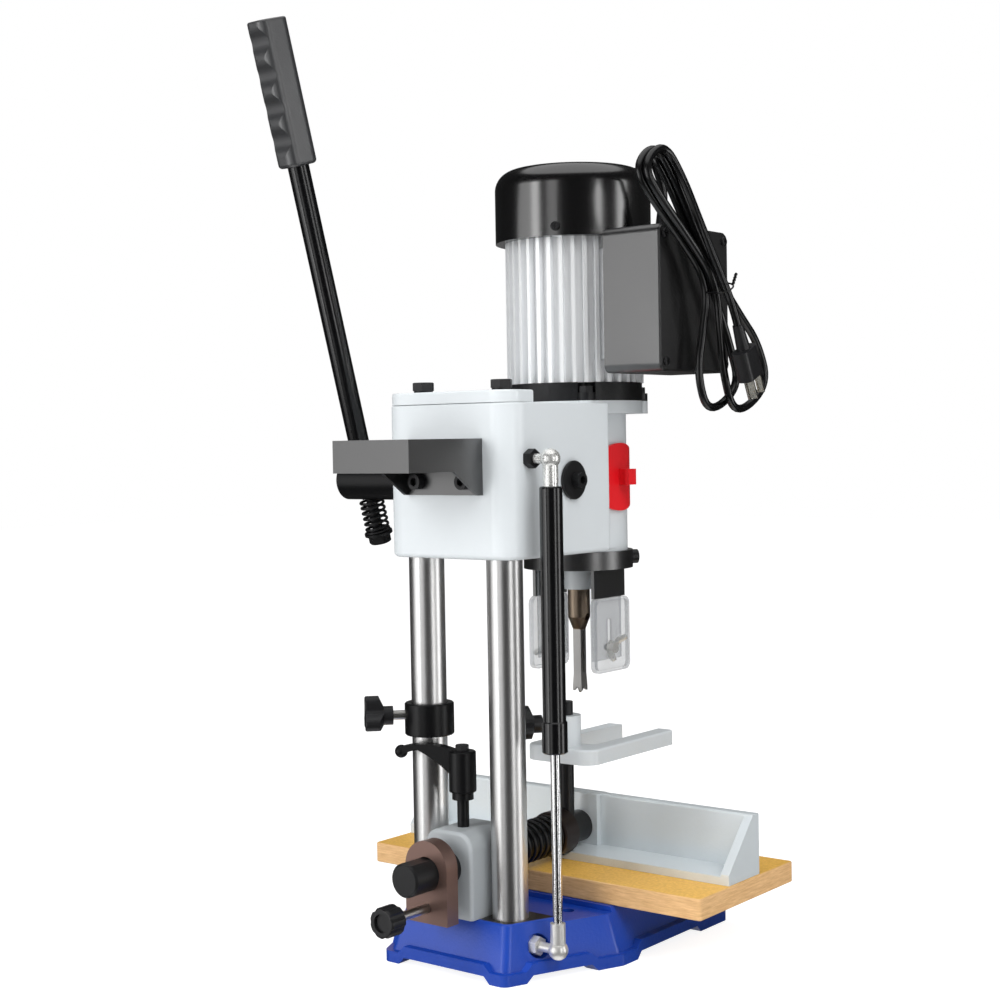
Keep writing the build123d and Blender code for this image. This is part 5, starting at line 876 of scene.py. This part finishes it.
def white_world():
    """White to the camera and in reflections, dimmer as a light."""
    world = bpy.data.worlds.new("studio")
    bpy.context.scene.world = world
    world.use_nodes = True
    tree = world.node_tree
    shine = tree.nodes["Background"]
    shine.inputs["Color"].default_value = WHITE
    strength = math_node(tree, "MULTIPLY_ADD", seen_directly(tree), 1 - WORLD_LIGHT, WORLD_LIGHT)
    tree.links.new(strength, shine.inputs["Strength"])


def show_in_reflections_only(panel, strength):
    """Make a studio panel glow white in reflections and show nowhere else."""
    material, shader = new_material(panel.name)
    shader.inputs["Base Color"].default_value = (0, 0, 0, 1)
    shader.inputs["Specular IOR Level"].default_value = 0
    shader.inputs["Emission Color"].default_value = WHITE
    shader.inputs["Emission Strength"].default_value = strength
    panel.data.materials.append(material)
    panel.visible_camera = False
    panel.visible_diffuse = False
    panel.visible_transmission = False
    panel.visible_shadow = False


def add_reflectors():
    """A dark studio wall with lit strips, which draw the bands on polished metal and gloss black."""
    deselect()
    bpy.ops.mesh.primitive_cylinder_add(
        vertices=WALL_SIDES, radius=WALL_R, depth=WALL_HEIGHT, end_fill_type="NOTHING", location=(0, 0, 0)
    )
    wall = bpy.context.object
    wall.name = "studio_wall"
    show_in_reflections_only(wall, WALL_GLOW)
    camera_side = math.atan2(CAMERA_PLACE[1], CAMERA_PLACE[0])
    middle = (STRIP_LOW + STRIP_HIGH) / 2
    for i, (bearing, width, brightness) in enumerate(STRIPS):
        angle = camera_side + math.radians(bearing)
        deselect()
        bpy.ops.mesh.primitive_plane_add(
            size=1,
            location=(STRIP_R * math.cos(angle), STRIP_R * math.sin(angle), middle),
            rotation=(math.pi / 2, 0, angle + math.pi / 2),
        )
        strip = bpy.context.object
        strip.name = f"studio_strip_{i + 1}"
        strip.scale = (width, STRIP_HIGH - STRIP_LOW, 1)
        show_in_reflections_only(strip, brightness)


def add_floor():
    """A white floor that keeps the object's shadow."""
    deselect()
    bpy.ops.mesh.primitive_plane_add(size=FLOOR_SIZE, location=(0, 0, 0))
    floor = bpy.context.object
    floor.name = "studio_floor"
    material, shader = new_material("studio_floor")
    tree = material.node_tree
    shader.inputs["Base Color"].default_value = FLOOR_COLOR
    shader.inputs["Roughness"].default_value = FLOOR_ROUGHNESS
    glow = tree.nodes.new("ShaderNodeEmission")
    glow.inputs["Color"].default_value = WHITE
    glow.inputs["Strength"].default_value = FLOOR_GLOW
    mix = tree.nodes.new("ShaderNodeMixShader")
    tree.links.new(math_node(tree, "MULTIPLY", seen_directly(tree), FLOOR_GLOW_SHARE), mix.inputs[0])
    tree.links.new(shader.outputs[0], mix.inputs[1])
    tree.links.new(glow.outputs[0], mix.inputs[2])
    tree.links.new(mix.outputs[0], tree.nodes["Material Output"].inputs["Surface"])
    floor.data.materials.append(material)
    floor.visible_glossy = False


def main():
    bpy.context.scene.view_settings.view_transform = "Standard"
    add_camera()
    add_cord()
    add_cord_tie()
    add_lever_spring()
    add_fence_spring()
    finish_nodes()
    white_world()
    add_floor()
    for name, lamp in LAMPS.items():
        add_lamp(name, *lamp)
    add_reflectors()


main()
